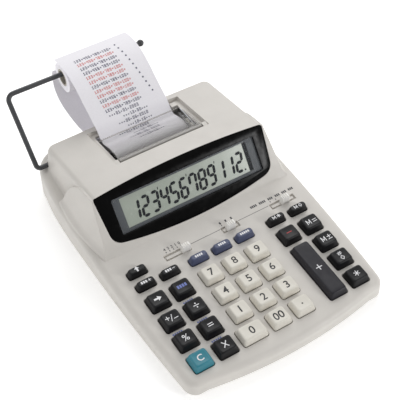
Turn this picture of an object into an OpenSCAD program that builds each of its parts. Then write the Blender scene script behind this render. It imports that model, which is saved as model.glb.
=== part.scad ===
// Printing desk calculator: a wedge-shaped case with a sloped key deck, a raised
// display and printer hood, and a wire arm behind it that carries a paper roll.
// Millimetres, +X right, +Y back, +Z up. The frame's origin is on the table, under
// the middle of the whole machine with its roll. Most sub-parts are drawn in case
// coordinates, whose origin is under the middle of the case, and placed() shifts
// them to the frame.

/* [Case] */
// Width of the case at its widest
case_w = 158; // [156:0.5:162]
// Length of the case, front to back
case_l = 222; // [220:0.5:226]
// Wall thickness of both shells
wall = 2.2; // [1.8:0.1:2.4]
// Height of the key deck at the middle of the case
deck_z = 19.4; // [19.2:0.1:20.5]
// Slope of the key deck, in degrees
deck_tilt = 3.2; // [3:0.1:3.4]
// Radius of the rounded edge around the deck
edge_r = 4.5; // [3.5:0.25:5]

/* [Hood] */
// Half width of the hood along its top edge
hood_hw = 66; // [65.5:0.25:66.5]
// Height of the display ridge at its ends
ridge_z = 52.3; // [51.5:0.1:53.5]
// Rise of the ridge from its ends to its middle
ridge_crown = 2.6; // [1.5:0.1:3]
// Slope of the display face, in degrees
bezel_tilt = 53; // [52:0.5:54]

/* [Keys] */
// Width of a key at the deck
key_w = 13.7; // [13:0.1:13.9]
// Depth of a full key at the deck
key_d = 12.3; // [11.8:0.1:12.5]
// Depth of a small key at the deck
small_key_d = 5.9; // [5.5:0.1:6.2]
// Height of a key above the deck
key_h = 4.8; // [4:0.1:5.5]
// How far a key travels
key_travel = 2.5; // [2:0.1:2.5]

/* [Paper] */
// Width of the paper
paper_w = 57.5; // [56:0.5:58]
// Outer radius of the paper left on the roll
roll_r = 11; // [9:0.5:12.5]
// Inner radius of the roll's core
core_r = 5.2; // [5:0.05:6]
// Radius of the wire arm
wire_r = 1.75; // [1.5:0.05:1.8]

/* [Hidden] */
$fn = 48;
eps = 0.01;

// Colours
case_colour = "#d5d1cc";
ivory = "#dad6cc";
near_black = "#26262a";
slate = "#4a4e70";
teal = "#3a7a8a";
plum = "#35333a";
steel = "#9a9ca0";
rubber_grey = "#505256";

// The machine reaches further back than the case because of its roll of paper, so
// the frame's origin lies this far behind the middle of the case.
rear_reach = 145.5;
frame_y = (rear_reach - case_l / 2) / 2;

// Case outline: sides that swell gently, a front edge on an arc, rounded corners
foot_h = 1.5;
side_mid_y = 10;
front_taper = 3.7;
rear_taper = 4.2;
front_arc_sag = 6.5;
front_corner_r = 9;
rear_corner_r = 22;
base_chamfer = 1.6;
front_corner_y = -case_l / 2 + front_arc_sag + front_corner_r - 1;
rear_corner_y = case_l / 2 - rear_corner_r;

// Parting line between the shells: low at the front, higher along the back half
part_front_z = 6;
part_rear_z = 17;
part_rise_from_y = -20;
part_rise_to_y = 58;
part_gap = 0.3;

// Hood: bezel plane from the deck up to the ridge, then a long slope to the back
bezel_foot_y = 3;
bezel_foot_z = 19.5;
ridge_y = bezel_foot_y + (ridge_z - bezel_foot_z) / tan(bezel_tilt);
hood_back_y = 97.5;
hood_back_z = 42.8;
hood_back_crown = 1;
hood_foot_hw = 70;
hood_foot_z = 16;
hood_edge_r = 3;
hood_corner_r = 3.5;
hood_slope = atan((ridge_z - hood_back_z) / (hood_back_y - ridge_y));
hood_top_mid_z = ridge_z + 1.9;
hood_x = [0, 30, 52, 61, 64, 65.6, 66];

// Lens and display, in the bezel's own plane: x across, u up the slope
lens_hw = 65.9;
lens_low_hw = 63;
lens_top_u = 44;
lens_top_sag = 3.4;
lens_low_u = 1.4;
lens_low_sag = 6.4;
lens_t = 1.6;
lens_corner_r = 5;
lcd_frame = [111.6, 25.5];
lcd_frame_u = 10.5;
lcd_glass = [99.5, 21];
lcd_glass_u = 13;
lcd_t = 2;
lcd_x = 1;

// Keys: column centres, row front edges along the deck, and what each key is
col_x = [-59.8, -41.8, -19.8, -1.8, 16.2, 42, 60];
row_0 = -98.15;
row_s = [0, 16.55, 33.1, 49.8, 68.3, 79.6];
small_from_row = 4;
zero_extra = 4.4;
key_gap = 0.35;
key_wall = 1.2;
flange_out = 0.8;
flange_top = -2.5;
flange_t = 1;
key_side_in = 1.25;
key_front_in = 1.5;
key_back_in = 0.9;
key_corner_r = 1.3;
plunger_r = 1.2;
// each key: name, column, row, colour
KEYS = [
    ["key_clear", 0, 0, teal],
    ["key_multiply", 1, 0, near_black],
    ["key_0", 2, 0, ivory],
    ["key_00", 3, 0, ivory],
    ["key_point", 4, 0, ivory],
    ["key_plus", 5, 0, plum],
    ["key_total", 6, 0, near_black],
    ["key_percent", 0, 1, near_black],
    ["key_equals", 1, 1, near_black],
    ["key_1", 2, 1, ivory],
    ["key_2", 3, 1, ivory],
    ["key_3", 4, 1, ivory],
    ["key_non_add", 6, 1, near_black],
    ["key_sign", 0, 2, near_black],
    ["key_divide", 1, 2, near_black],
    ["key_4", 2, 2, ivory],
    ["key_5", 3, 2, ivory],
    ["key_6", 4, 2, ivory],
    ["key_memory_plus", 6, 2, near_black],
    ["key_backspace", 0, 3, near_black],
    ["key_time", 1, 3, near_black],
    ["key_7", 2, 3, ivory],
    ["key_8", 3, 3, ivory],
    ["key_9", 4, 3, ivory],
    ["key_minus", 5, 3, near_black],
    ["key_memory_minus", 6, 3, near_black],
    ["key_tax_plus", 0, 4, near_black],
    ["key_tax_minus", 1, 4, near_black],
    ["key_cost", 2, 4, slate],
    ["key_sell", 3, 4, slate],
    ["key_margin", 4, 4, slate],
    ["key_memory_total", 5, 4, near_black],
    ["key_memory_sub", 6, 4, near_black],
    ["key_paper_feed", 0, 5, near_black]
];
// each slide switch: name, slot centre, slot length, where its knob rests
SWITCHES = [
    ["switch_decimal", -28.7, 19.5, -22.5],
    ["switch_rounding", 13, 13.5, 13],
    ["switch_mode", 56, 20, 57.5]
];
switch_s = -15.3;
slot_w = 4.8;
slot_depth = 1.5;
slit_w = 2;
slit_in = 1.2;
knob = [6.4, 4.2, 5.6];

// Under the deck
mat_gap = 0.4;
mat_top = flange_top - flange_t - key_travel - mat_gap;
mat_t = 1;
board_top = mat_top - mat_t - 0.1;
board_t = 1.6;
board_hw = 66;
board_s = [-100.5, -8];

// Printer recess in the hood top, and the printer below it
recess_hw = 36.8;
recess_y = [48.5, 91.5];
recess_depth = 4;
window_hw = 33;
window_y = [49.6, 88.5];
cover_hw = 32.4;
cover_pin = [51.5, 47.6];
cover_pin_r = 1;
ear_x = 35;
ear_t = 3.6;
plate_x = 36;
plate_t = 1.5;
chassis_y = [47, 92];
chassis_z = 18.5;
platen_at = [70, 30];
platen_r = 6.3;
shaft_r = 1.5;
rail_at = [54.5, 27];
carriage_x = 21;
carriage = [12, 13, 13];
ink_at = [56.5, 38.4];
ink_r = 3.6;
motor_at = [61.5, 21.5];
motor_r = 8.5;
motor_y = [50, 74];
drive_x = [29.5, 35];
motor_shaft_r = 1;
gear_x = -41.5;
gear_t = 3;
gear_module = 0.8;
platen_teeth = 20;
pinion_teeth = 10;

// Wire arm: hole in the hood's side, leg, and the rod through the roll's core
pivot = [94.6, 27.4];
arm_boss_r = 3.7;
rod_at = [132, 67.2];
arm_leg_x = -75.4;
arm_tip_x = 31;
tip_r = 2.6;
hole_bend = 2.9;
rod_bend = 5;
arm_inner_x = -58;
collar_r = 3;
pivot_clearance = 0.06;
roll_x = -4;
roll_gap = 0.1;
core_t = 1.3;
roll_at = [rod_at[0], rod_at[1] - (core_r - wire_r) + roll_gap];

// Tape: from the back of the roll into the rear slot, round the platen, out at the
// tear edge and up over the roll
tape_t = 0.3;
tape_x = -3;
tape_path = [
    [144.1, 62], [145.3, 54], [143.4, 44.5], [136, 36], [120, 30.6], [104, 29.4],
    [92, 27], [80, 22], [70, 22.6], [63.8, 25.9], [62.9, 31.4], [62.8, 36.6], [64.6, 40.4],
    [69, 41.4], [74.5, 40.8], [80.5, 39.2], [84.4, 41.2], [86.4, 44],
    [89, 47.4], [94, 51.8], [102, 58.9], [110, 66.4], [118.5, 72.6], [127, 75.9], [134, 76.4], [139.5, 75.6]
];
tape_steps = 2;
paper_slot_y = [86, 104];
paper_slot_z = [26, 31.6];
paper_slot_side = 1.5;

// Screws and feet
// each screw: x, y, and the height its post in the top shell reaches
screw_at = [[-70.9, -58, 15], [70.9, -58, 15], [-72, 12, 18.8], [72, 12, 18.8], [-52, 86, 43], [52, 86, 43]];
post_r = 3;
screw_r = 1.1;
pilot_r = 1.15;
pilot_top = 13;
screw_l = 10;
head_r = 2.5;
head_t = 2;
head_z = foot_h + 0.6;
boss_top = 7.5;
jack_x = 42;
jack_z = 11.5;
jack_r = 4;
jack_bore_r = 2.9;
feet_at = [[-60, -96], [60, -96], [-56, 96], [56, 96]];
foot_r = 5;

// ---------- frames ----------

module placed() translate([0, -frame_y, 0]) children();

// the deck's own plane: x across, s along the slope, n up from the surface
module on_deck(n = 0) placed() translate([0, 0, deck_z]) rotate([deck_tilt, 0, 0]) translate([0, 0, n]) children();

// the display face's own plane: x across, u up the slope, n out of the face
module on_bezel(n = 0)
    placed() translate([0, bezel_foot_y, bezel_foot_z]) rotate([bezel_tilt, 0, 0]) translate([0, 0, n]) children();

// a cylinder along X through a point of the YZ plane
module rod(at, r, x0, x1)
    placed() translate([x0, at[0], at[1]]) rotate([0, 90, 0]) cylinder(h = x1 - x0, r = r);

module block(x, y, z)
    placed() translate([x[0], y[0], z[0]]) cube([x[1] - x[0], y[1] - y[0], z[1] - z[0]]);

// ---------- case outline ----------

function half_width(y) =
    let (t = y < side_mid_y ? (side_mid_y - y) / 105 : (y - side_mid_y) / 79)
    case_w / 2 - (y < side_mid_y ? front_taper * t * t : rear_taper * t * t * t * t);

function front_y(x) = -case_l / 2 + front_arc_sag * pow(x / 66, 2);

// right half of the outline, from the middle of the front edge to the back corner
function outline_right(d) =
    let (
        fx = half_width(front_corner_y) - front_corner_r,
        rx = half_width(rear_corner_y) - rear_corner_r
    )
    concat(
        [for (i = [0:3]) let (x = i * fx / 4) [x, front_y(x) + d]],
        [for (a = [-70:35:0]) [fx + (front_corner_r - d) * cos(a), front_corner_y + (front_corner_r - d) * sin(a)]],
        [for (i = [1:5]) let (y = front_corner_y + i * (rear_corner_y - front_corner_y) / 6) [half_width(y) - d, y]],
        [for (a = [0:18:90]) [rx + (rear_corner_r - d) * cos(a), rear_corner_y + (rear_corner_r - d) * sin(a)]]
    );

function mirrored(points) = [for (i = [len(points) - 1:-1:1]) [-points[i][0], points[i][1]]];

function outline(d) = let (half = outline_right(d)) concat(half, mirrored(half));

module outline_slice(d) linear_extrude(eps) polygon(outline(d));

// the case without its hood, shrunk by d on every side
module case_volume(d = 0)
    hull() {
        placed() translate([0, 0, foot_h + d]) outline_slice(d + base_chamfer);
        placed() translate([0, 0, foot_h + d + base_chamfer]) outline_slice(d);
        for (a = [0:45:90])
            on_deck(-d - edge_r * (1 - sin(a))) outline_slice(d + edge_r * (1 - cos(a)));
    }

// ---------- hood ----------

// how far a rounded edge of radius r has fallen at distance x from the middle
function round_off(x, hw, r) = x <= hw - r ? 0 : r - sqrt(max(0, r * r - pow(x - hw + r, 2)));

module hood_section(x, d) {
    drop = round_off(x, hood_hw, hood_edge_r) + d;
    back_in = round_off(x, hood_hw, hood_corner_r) + d;
    front_in = d / sin(bezel_tilt);
    rise = ridge_crown * (1 - pow(x / hood_hw, 2));
    back_rise = hood_back_crown * (1 - pow(x / hood_hw, 2));
    top_y = ridge_y + (rise - drop) / tan(bezel_tilt) + front_in;
    polygon([
        [bezel_foot_y - (bezel_foot_z - hood_foot_z) / tan(bezel_tilt) + front_in, hood_foot_z],
        [top_y - 0.8, ridge_z + rise - drop - 1.2],
        [top_y + 1, ridge_z + rise - drop],
        [hood_back_y - back_in - 5, hood_back_z + back_rise - drop],
        [hood_back_y - back_in - 1.2, hood_back_z + back_rise - drop - 2.2],
        [hood_back_y - back_in, hood_back_z + back_rise - drop - 5],
        [hood_back_y - back_in + 3, hood_foot_z]
    ]);
}

// the raised housing, shrunk by d on every side
module hood_volume(d = 0)
    hull() {
        for (side = [-1, 1])
            for (x = hood_x)
                placed() translate([side * (x - d * x / hood_hw), 0, 0])
                    rotate([90, 0, 90]) linear_extrude(eps) hood_section(x, d);
        placed() translate([-hood_foot_hw + d, d, hood_foot_z])
            cube([2 * (hood_foot_hw - d), hood_back_y - 2 * d, eps]);
    }

// the flare beside the display, from the lens corner out to the edge of the deck
module wing_volume(side)
    hull()
        for (p = [
            [60, 24, 46], [67.2, ridge_y, ridge_z - 0.8], [66.3, 45, 49.2], [60, 45, 49.2],
            [71.4, 2.6, 19], [71.4, 2, 17], [75, 18, 17], [75.4, 34, 17], [74.4, 60, 18],
            [60, 2, 17], [60, 62, 18], [70.2, 40, 38], [73, 32, 28], [68.8, 54, 38], [72.2, 58, 28]
        ])
            placed() translate([side * p[0], p[1], p[2]]) cube(0.2, center = true);

// everything above the parting line, or below it
module parting_side(upper) {
    g = upper ? part_gap / 2 : -part_gap / 2;
    far_z = upper ? 90 : -10;
    placed() translate([-case_w, 0, 0]) rotate([90, 0, 90]) linear_extrude(2 * case_w)
        polygon([
            [-case_l, part_front_z + g], [part_rise_from_y, part_front_z + g],
            [part_rise_to_y, part_rear_z + g], [case_l, part_rear_z + g],
            [case_l, far_z], [-case_l, far_z]
        ]);
}

// ---------- lens outline ----------

module lens_shape(grow = 0) {
    steps = 12;
    offset(delta = grow) offset(r = lens_corner_r) offset(delta = -lens_corner_r)
        polygon(concat(
            [for (i = [0:steps]) let (t = 2 * i / steps - 1)
                [lens_low_hw * t, lens_low_u + lens_low_sag * t * t]],
            [for (i = [0:steps]) let (t = 1 - 2 * i / steps)
                [lens_hw * t, lens_top_u - lens_top_sag * t * t]]
        ));
}

// ---------- key geometry ----------

function key_small(k) = k[2] >= small_from_row;
function key_x0(k) = col_x[k[1]] - key_w / 2 - (k[0] == "key_0" ? zero_extra : 0);
function key_x1(k) = col_x[k[1]] + key_w / 2;
function key_s0(k) = row_0 + row_s[k[2]];
function key_s1(k) = key_s0(k) + (k[0] == "key_plus" ? row_s[2] + key_d : key_small(k) ? small_key_d : key_d);

// an upright rounded bar from one corner to the other, between heights n0 and n1
module key_slab(x0, x1, s0, s1, n0, n1)
    translate([0, 0, n0]) linear_extrude(n1 - n0)
        offset(r = key_corner_r, $fn = 16) offset(delta = -key_corner_r)
            translate([x0, s0]) square([x1 - x0, s1 - s0]);

module key_cap(k) {
    x0 = key_x0(k);
    x1 = key_x1(k);
    s0 = key_s0(k);
    s1 = key_s1(k);
    low = flange_top - flange_t;
    front_in = key_small(k) ? key_front_in * 0.7 : key_front_in;
    color(k[3]) on_deck() difference() {
        union() {
            hull() {
                key_slab(x0, x1, s0, s1, 0, 0.3);
                key_slab(x0 + key_side_in, x1 - key_side_in, s0 + front_in, s1 - key_back_in, key_h - 0.4, key_h);
            }
            translate([x0 + 0.1, s0 + 0.1, low]) cube([x1 - x0 - 0.2, s1 - s0 - 0.2, -low + 0.1]);
            translate([x0 - flange_out, s0 - flange_out, low])
                cube([x1 - x0 + 2 * flange_out, s1 - s0 + 2 * flange_out, flange_t]);
        }
        translate([x0 + key_side_in + key_wall, s0 + front_in + key_wall, low - 1])
            cube([
                x1 - x0 - 2 * (key_side_in + key_wall),
                s1 - s0 - front_in - key_back_in - 2 * key_wall,
                key_h - key_wall - low + 1
            ]);
    }
    color(k[3]) on_deck(low) translate([(x0 + x1) / 2, (s0 + s1) / 2, 0])
        cylinder(h = key_h - key_wall - low + 0.3, r = plunger_r);
}

module key_openings()
    for (k = KEYS)
        on_deck(-6) translate([key_x0(k) - key_gap, key_s0(k) - key_gap, 0])
            cube([key_x1(k) - key_x0(k) + 2 * key_gap, key_s1(k) - key_s0(k) + 2 * key_gap, 12]);

// ---------- slide switches ----------

module switch_slots()
    for (s = SWITCHES)
        on_deck() {
            translate([s[1] - s[2] / 2, switch_s - slot_w / 2, -slot_depth]) cube([s[2], slot_w, 4]);
            translate([s[1] - s[2] / 2 + slit_in, switch_s - slit_w / 2, -6]) cube([s[2] - 2 * slit_in, slit_w, 8]);
        }

module switch_knob(s) {
    stem_w = slit_w - 0.6;
    stem_l = 3;
    foot = [7, 5, 1];
    color(ivory) on_deck() translate([s[3], switch_s, 0]) {
        translate([-knob[0] / 2, -knob[1] / 2, -slot_depth + 0.3])
            cube([knob[0], knob[1], knob[2] + slot_depth - 0.3]);
        translate([-stem_l / 2, -stem_w / 2, -wall - 0.8]) cube([stem_l, stem_w, wall]);
        translate([-foot[0] / 2, -foot[1] / 2, -wall - 1.4]) cube(foot);
    }
}

// ---------- shells ----------

module screw_post(p, z0, z1, r)
    placed() translate([p[0], p[1], z0]) cylinder(h = z1 - z0, r = r);

module cover_ear(side)
    block(
        [side * ear_x - ear_t / 2, side * ear_x + ear_t / 2],
        [recess_y[0] - 0.1, cover_pin[0] + 1.9],
        [cover_pin[1] - 2, cover_pin[1] + 1.9]
    );

module recess_tray_cut()
    placed() translate([0, ridge_y, hood_top_mid_z]) rotate([-hood_slope, 0, 0]) {
        v0 = (recess_y[0] - ridge_y) / cos(hood_slope);
        v1 = (recess_y[1] - ridge_y) / cos(hood_slope);
        translate([-recess_hw, v0, -recess_depth]) cube([2 * recess_hw, v1 - v0, 12]);
    }

module recess_tray() {
    lip = 1.6;
    placed() translate([0, ridge_y, hood_top_mid_z]) rotate([-hood_slope, 0, 0]) {
        v0 = (recess_y[0] - ridge_y) / cos(hood_slope);
        v1 = (recess_y[1] - ridge_y) / cos(hood_slope);
        translate([-recess_hw - lip, v0 - lip, -recess_depth - lip])
            cube([2 * (recess_hw + lip), v1 - v0 + 2 * lip, recess_depth - 0.4]);
    }
}

module printer_window()
    block([-window_hw, window_hw], window_y, [36, 60]);

module top_case()
    color(case_colour) difference() {
        union() {
            difference() {
                intersection() {
                    union() {
                        case_volume();
                        hood_volume();
                        wing_volume(-1);
                        wing_volume(1);
                    }
                    parting_side(true);
                }
                case_volume(wall);
                hood_volume(wall);
            }
            recess_tray();
            for (p = screw_at) screw_post(p, boss_top + 0.2, p[2], post_r);
            rod(pivot, arm_boss_r, -66.5, -61);
            for (side = [-1, 1]) cover_ear(side);
        }
        for (p = screw_at) screw_post(p, boss_top, pilot_top, pilot_r);
        key_openings();
        switch_slots();
        recess_tray_cut();
        printer_window();
        rod(cover_pin, cover_pin_r + pivot_clearance, -ear_x - 0.5, ear_x + 0.5);
        rod(pivot, wire_r + pivot_clearance, -80, -60);
        on_bezel(-lens_t) linear_extrude(4) lens_shape(0.15);
        on_bezel(-8) translate([lcd_x - lcd_frame[0] / 2 - 0.5, lcd_frame_u - 0.5, 0])
            cube([lcd_frame[0] + 1, lcd_frame[1] + 1, 12]);
        rod(pivot, collar_r + 0.3, arm_inner_x - 3, arm_inner_x + 1);
        block(
            [tape_x - paper_w / 2 - paper_slot_side, tape_x + paper_w / 2 + paper_slot_side],
            paper_slot_y, paper_slot_z
        );
    }

module bottom_case()
    color(case_colour) difference() {
        union() {
            difference() {
                intersection() {
                    case_volume();
                    parting_side(false);
                }
                case_volume(wall);
            }
            for (p = screw_at) screw_post(p, foot_h + 1, boss_top, post_r + 1);
        }
        for (p = screw_at) {
            screw_post(p, 0, boss_top + 1, screw_r + 0.4);
            screw_post(p, 0, head_z + head_t, head_r + 0.3);
        }
        for (p = feet_at)
            placed() translate([p[0], p[1], 0]) cylinder(h = foot_h + 0.8, r = foot_r + 0.1);
        placed() translate([jack_x, case_l / 2 - 8, jack_z]) rotate([-90, 0, 0]) cylinder(h = 12, r = jack_r + 0.2);
    }

// ---------- display ----------

module display_lens()
    color("#101012") on_bezel(-lens_t) linear_extrude(lens_t) lens_shape();

module lcd_bezel()
    color("#6a6c78") on_bezel(-lens_t - 0.2 - lcd_t) difference() {
        translate([lcd_x - lcd_frame[0] / 2, lcd_frame_u, 0]) cube([lcd_frame[0], lcd_frame[1], lcd_t]);
        translate([lcd_x - lcd_glass[0] / 2, lcd_glass_u, -1]) cube([lcd_glass[0], lcd_glass[1], lcd_t + 2]);
    }

module lcd_panel()
    color("#9fa79c") on_bezel(-lens_t - 0.4 - lcd_t)
        translate([lcd_x - lcd_glass[0] / 2 + 0.1, lcd_glass_u + 0.1, 0])
            cube([lcd_glass[0] - 0.2, lcd_glass[1] - 0.2, lcd_t - 0.3]);

// ---------- under the keys ----------

module under_deck_sheet(hw, s, top, t)
    on_deck(top - t) translate([-hw, s[0], 0]) cube([2 * hw, s[1] - s[0], t]);

module main_board()
    color("#2f6b46") under_deck_sheet(board_hw, board_s, board_top, board_t);

module key_mat()
    color(rubber_grey) on_deck(mat_top - mat_t) {
        translate([-board_hw, board_s[0], 0]) cube([2 * board_hw, board_s[1] - board_s[0] - 2, mat_t]);
        for (k = KEYS)
            translate([(key_x0(k) + key_x1(k)) / 2, (key_s0(k) + key_s1(k)) / 2, 0])
                cylinder(h = mat_t + 0.1, r = 2.2);
    }

// ---------- printer ----------

module printer_frame()
    color("#3c3e42") difference() {
        union() {
            block([-plate_x - 2, plate_x + 2], chassis_y, [chassis_z - plate_t, chassis_z]);
            for (side = [-1, 1])
                block(
                    [side * plate_x - plate_t / 2, side * plate_x + plate_t / 2],
                    chassis_y, [chassis_z - plate_t, 39]
                );
            block([-62, -plate_x], motor_y, [chassis_z - 8, chassis_z - 8 + plate_t]);
            block([-plate_x - 3, -plate_x], motor_y, [chassis_z - 8, chassis_z]);
            block(drive_x, [61, 77], [chassis_z - 0.1, 40.5]);
            for (x = [-30, 30], y = [51, 88])
                placed() translate([x, y, foot_h + wall + 0.05]) cylinder(h = chassis_z - foot_h - wall - 1, r = 2.5);
        }
        rod(platen_at, shaft_r + pivot_clearance, -60, 60);
        rod(rail_at, shaft_r + 0.02, -60, 60);
        block(
            [-42.5, -plate_x - plate_t / 2 + 0.1],
            [motor_y[0] + 0.5, motor_y[1] - 0.5],
            [chassis_z - 6, chassis_z + 1]
        );
    }

module platen_roller() {
    color("#1f1f21") rod(platen_at, platen_r, -32, 28.8);
    color(steel) rod(platen_at, shaft_r, -42.5, 38.5);
}

// spur gear outline with straight-sided teeth, a tooth centred on the given angle
module gear_shape(teeth, phase) {
    pitch_r = gear_module * teeth / 2;
    tip_r = pitch_r + 0.5;
    root_r = pitch_r - 0.75;
    step = 360 / teeth;
    polygon([for (i = [0:teeth - 1], c = [[-0.30, root_r], [-0.13, tip_r], [0.13, tip_r], [0.30, root_r]])
        let (a = phase + (i + c[0]) * step) [c[1] * cos(a), c[1] * sin(a)]]);
}

// gear angles are measured from +Y towards +Z; the two gears face each other
mesh_angle = atan2(platen_at[1] - motor_at[1], platen_at[0] - motor_at[0]);

module gear(at, teeth, phase)
    placed() translate([gear_x, at[0], at[1]]) rotate([90, 0, 90]) linear_extrude(gear_t) gear_shape(teeth, phase);

module platen_gear()
    color("#d8d4c8") difference() {
        gear(platen_at, platen_teeth, mesh_angle + 180 + 180 / platen_teeth);
        rod(platen_at, shaft_r + 0.02, gear_x - 1, gear_x + gear_t + 1);
    }

module motor_gear()
    color("#c8b070") {
        gear(motor_at, pinion_teeth, mesh_angle);
        rod(motor_at, motor_shaft_r, -46, gear_x + gear_t);
    }

module printer_motor()
    color(steel) difference() {
        union() {
            rod(motor_at, motor_r, -61, -45);
            rod(motor_at, 2.4, -45, -43.4);
        }
        rod(motor_at, motor_shaft_r + pivot_clearance, -47, -40);
    }

module print_carriage()
    color("#1c1c1e") difference() {
        x0 = carriage_x - carriage[0] / 2;
        x1 = carriage_x + carriage[0] / 2;
        y0 = rail_at[0] - 5.7;
        union() {
            block([x0, x1], [y0, y0 + carriage[1]], [rail_at[1] - 4, rail_at[1] - 4 + carriage[2] - 2.4]);
            for (x = [x0, x1 - 1.4])
                block([x, x + 1.4], [y0, y0 + 8], [rail_at[1], ink_at[1] + 2]);
        }
        rod(rail_at, shaft_r + pivot_clearance, 0, 60);
        rod(ink_at, 1 + pivot_clearance, 0, 60);
    }

module ink_roller() {
    half = carriage[0] / 2;
    color("#3b2d55") rod(ink_at, ink_r, carriage_x - half + 1.9, carriage_x + half - 1.9);
    color(near_black) rod(ink_at, 1, carriage_x - half - 0.3, carriage_x + half + 0.3);
}

module carriage_rail()
    color(steel) rod(rail_at, shaft_r, -plate_x - plate_t / 2, plate_x + plate_t / 2);

// smoked cover: a shallow curved plate with a pin at each front corner
cover_section = [
    [50.3, 47.4], [50.9, 48.9], [52.4, 49.4], [58, 49], [66, 47.7], [73, 46], [79, 43.9], [83, 42.1],
    [82.6, 40.9], [78.5, 42.6], [72.6, 44.7], [65.8, 46.3], [58, 47.6], [53.6, 47.7], [52.6, 46.7], [50.8, 46.6]
];

module printer_cover()
    color("#6b6866a0") {
        placed() translate([-cover_hw, 0, 0]) rotate([90, 0, 90]) linear_extrude(2 * cover_hw) polygon(cover_section);
        rod(cover_pin, cover_pin_r, -35.2, 35.2);
    }

// ---------- paper and its arm ----------

// a quarter bend of the wire in the XZ plane, starting at the given angle
module wire_bend(x, z, r, start)
    translate([x, 0, z]) rotate([90, 0, 0]) rotate([0, 0, start])
        rotate_extrude(angle = 90) translate([r, 0]) circle(wire_r);

module paper_arm() {
    leg = [rod_at[0] - pivot[0], rod_at[1] - pivot[1]];
    leg_l = norm(leg);
    color("#404040") {
        placed() translate([0, pivot[0], pivot[1]]) rotate([-atan2(leg[0], leg[1]), 0, 0]) {
            translate([arm_leg_x + hole_bend, 0, 0]) rotate([0, 90, 0])
                cylinder(h = arm_inner_x - arm_leg_x - hole_bend, r = wire_r);
            wire_bend(arm_leg_x + hole_bend, hole_bend, hole_bend, 180);
            translate([arm_leg_x, 0, hole_bend]) cylinder(h = leg_l - hole_bend - rod_bend, r = wire_r);
            wire_bend(arm_leg_x + rod_bend, leg_l - rod_bend, rod_bend, 90);
            translate([arm_leg_x + rod_bend, 0, leg_l]) rotate([0, 90, 0])
                cylinder(h = arm_tip_x - arm_leg_x - rod_bend, r = wire_r);
            translate([arm_tip_x, 0, leg_l]) sphere(tip_r);
        }
        rod(pivot, collar_r, arm_inner_x - 2.5, arm_inner_x - 0.5);
    }
}

module ring(at, r_in, r_out, x0, x1)
    difference() {
        rod(at, r_out, x0, x1);
        rod(at, r_in, x0 - 1, x1 + 1);
    }

module paper_core()
    color("#b9b4ac") ring(roll_at, core_r, core_r + core_t, roll_x - paper_w / 2, roll_x + paper_w / 2);

module paper_roll()
    color("#f1eff2") ring(roll_at, core_r + core_t, roll_r, roll_x - paper_w / 2, roll_x + paper_w / 2);

// a smooth curve through the points, with the given steps between each pair
function curve_point(p, i, t) =
    let (
        n = len(p) - 1,
        a = p[max(i - 1, 0)], b = p[i], c = p[min(i + 1, n)], d = p[min(i + 2, n)]
    )
    0.5 * (2 * b + (c - a) * t + (2 * a - 5 * b + 4 * c - d) * t * t + (3 * b - a - 3 * c + d) * t * t * t);

function curve(p, steps) =
    concat([for (i = [0:len(p) - 2], j = [0:steps - 1]) curve_point(p, i, j / steps)], [p[len(p) - 1]]);

// the points of a path moved sideways by d
function beside(p, d) =
    [for (i = [0:len(p) - 1])
        let (v = p[min(i + 1, len(p) - 1)] - p[max(i - 1, 0)], n = [-v[1], v[0]] / norm(v))
        p[i] + d * n];

module paper_tape() {
    path = curve(tape_path, tape_steps);
    near = beside(path, -tape_t / 2);
    far = beside(path, tape_t / 2);
    back = [for (i = [len(far) - 1:-1:0]) far[i]];
    color("#f6f4f8") placed() translate([tape_x - paper_w / 2, 0, 0])
        rotate([90, 0, 90]) linear_extrude(paper_w) polygon(concat(near, back));
}

// ---------- small parts ----------

module dc_jack()
    color("#1a1a1c") placed() translate([jack_x, 0, jack_z]) difference() {
        union() {
            translate([-5, case_l / 2 - 14, -6]) cube([10, 11.5, 11]);
            translate([0, case_l / 2 - 3, 0]) rotate([-90, 0, 0]) cylinder(h = 2.6, r = jack_r);
        }
        translate([0, case_l / 2 - 11, 0]) rotate([-90, 0, 0]) cylinder(h = 14, r = jack_bore_r);
    }

module rubber_feet()
    color("#2a2a2c")
        for (p = feet_at)
            placed() translate([p[0], p[1], 0]) cylinder(h = foot_h + 0.75, r = foot_r);

module case_screws()
    color(steel)
        for (p = screw_at)
            placed() translate([p[0], p[1], head_z]) {
                cylinder(h = head_t - 0.05, r = head_r);
                cylinder(h = screw_l, r = screw_r);
            }

top_case();
bottom_case();
display_lens();
lcd_bezel();
lcd_panel();
main_board();
key_mat();
printer_frame();
platen_roller();
platen_gear();
motor_gear();
printer_motor();
print_carriage();
ink_roller();
carriage_rail();
printer_cover();
paper_arm();
paper_core();
paper_roll();
paper_tape();
dc_jack();
rubber_feet();
case_screws();
for (s = SWITCHES) switch_knob(s);
for (k = KEYS) key_cap(k);
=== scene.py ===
"""A printing desk calculator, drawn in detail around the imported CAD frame.

Lengths below are in millimetres, in case coordinates: the origin is on the table under the middle of the
case, +X right, +Y back, +Z up. place() turns them into the frame's metres. Three helpers lie on slopes:
on_deck() on the key deck, on_bezel() on the display face and on_hood() on the hood's top.
"""

import math

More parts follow.
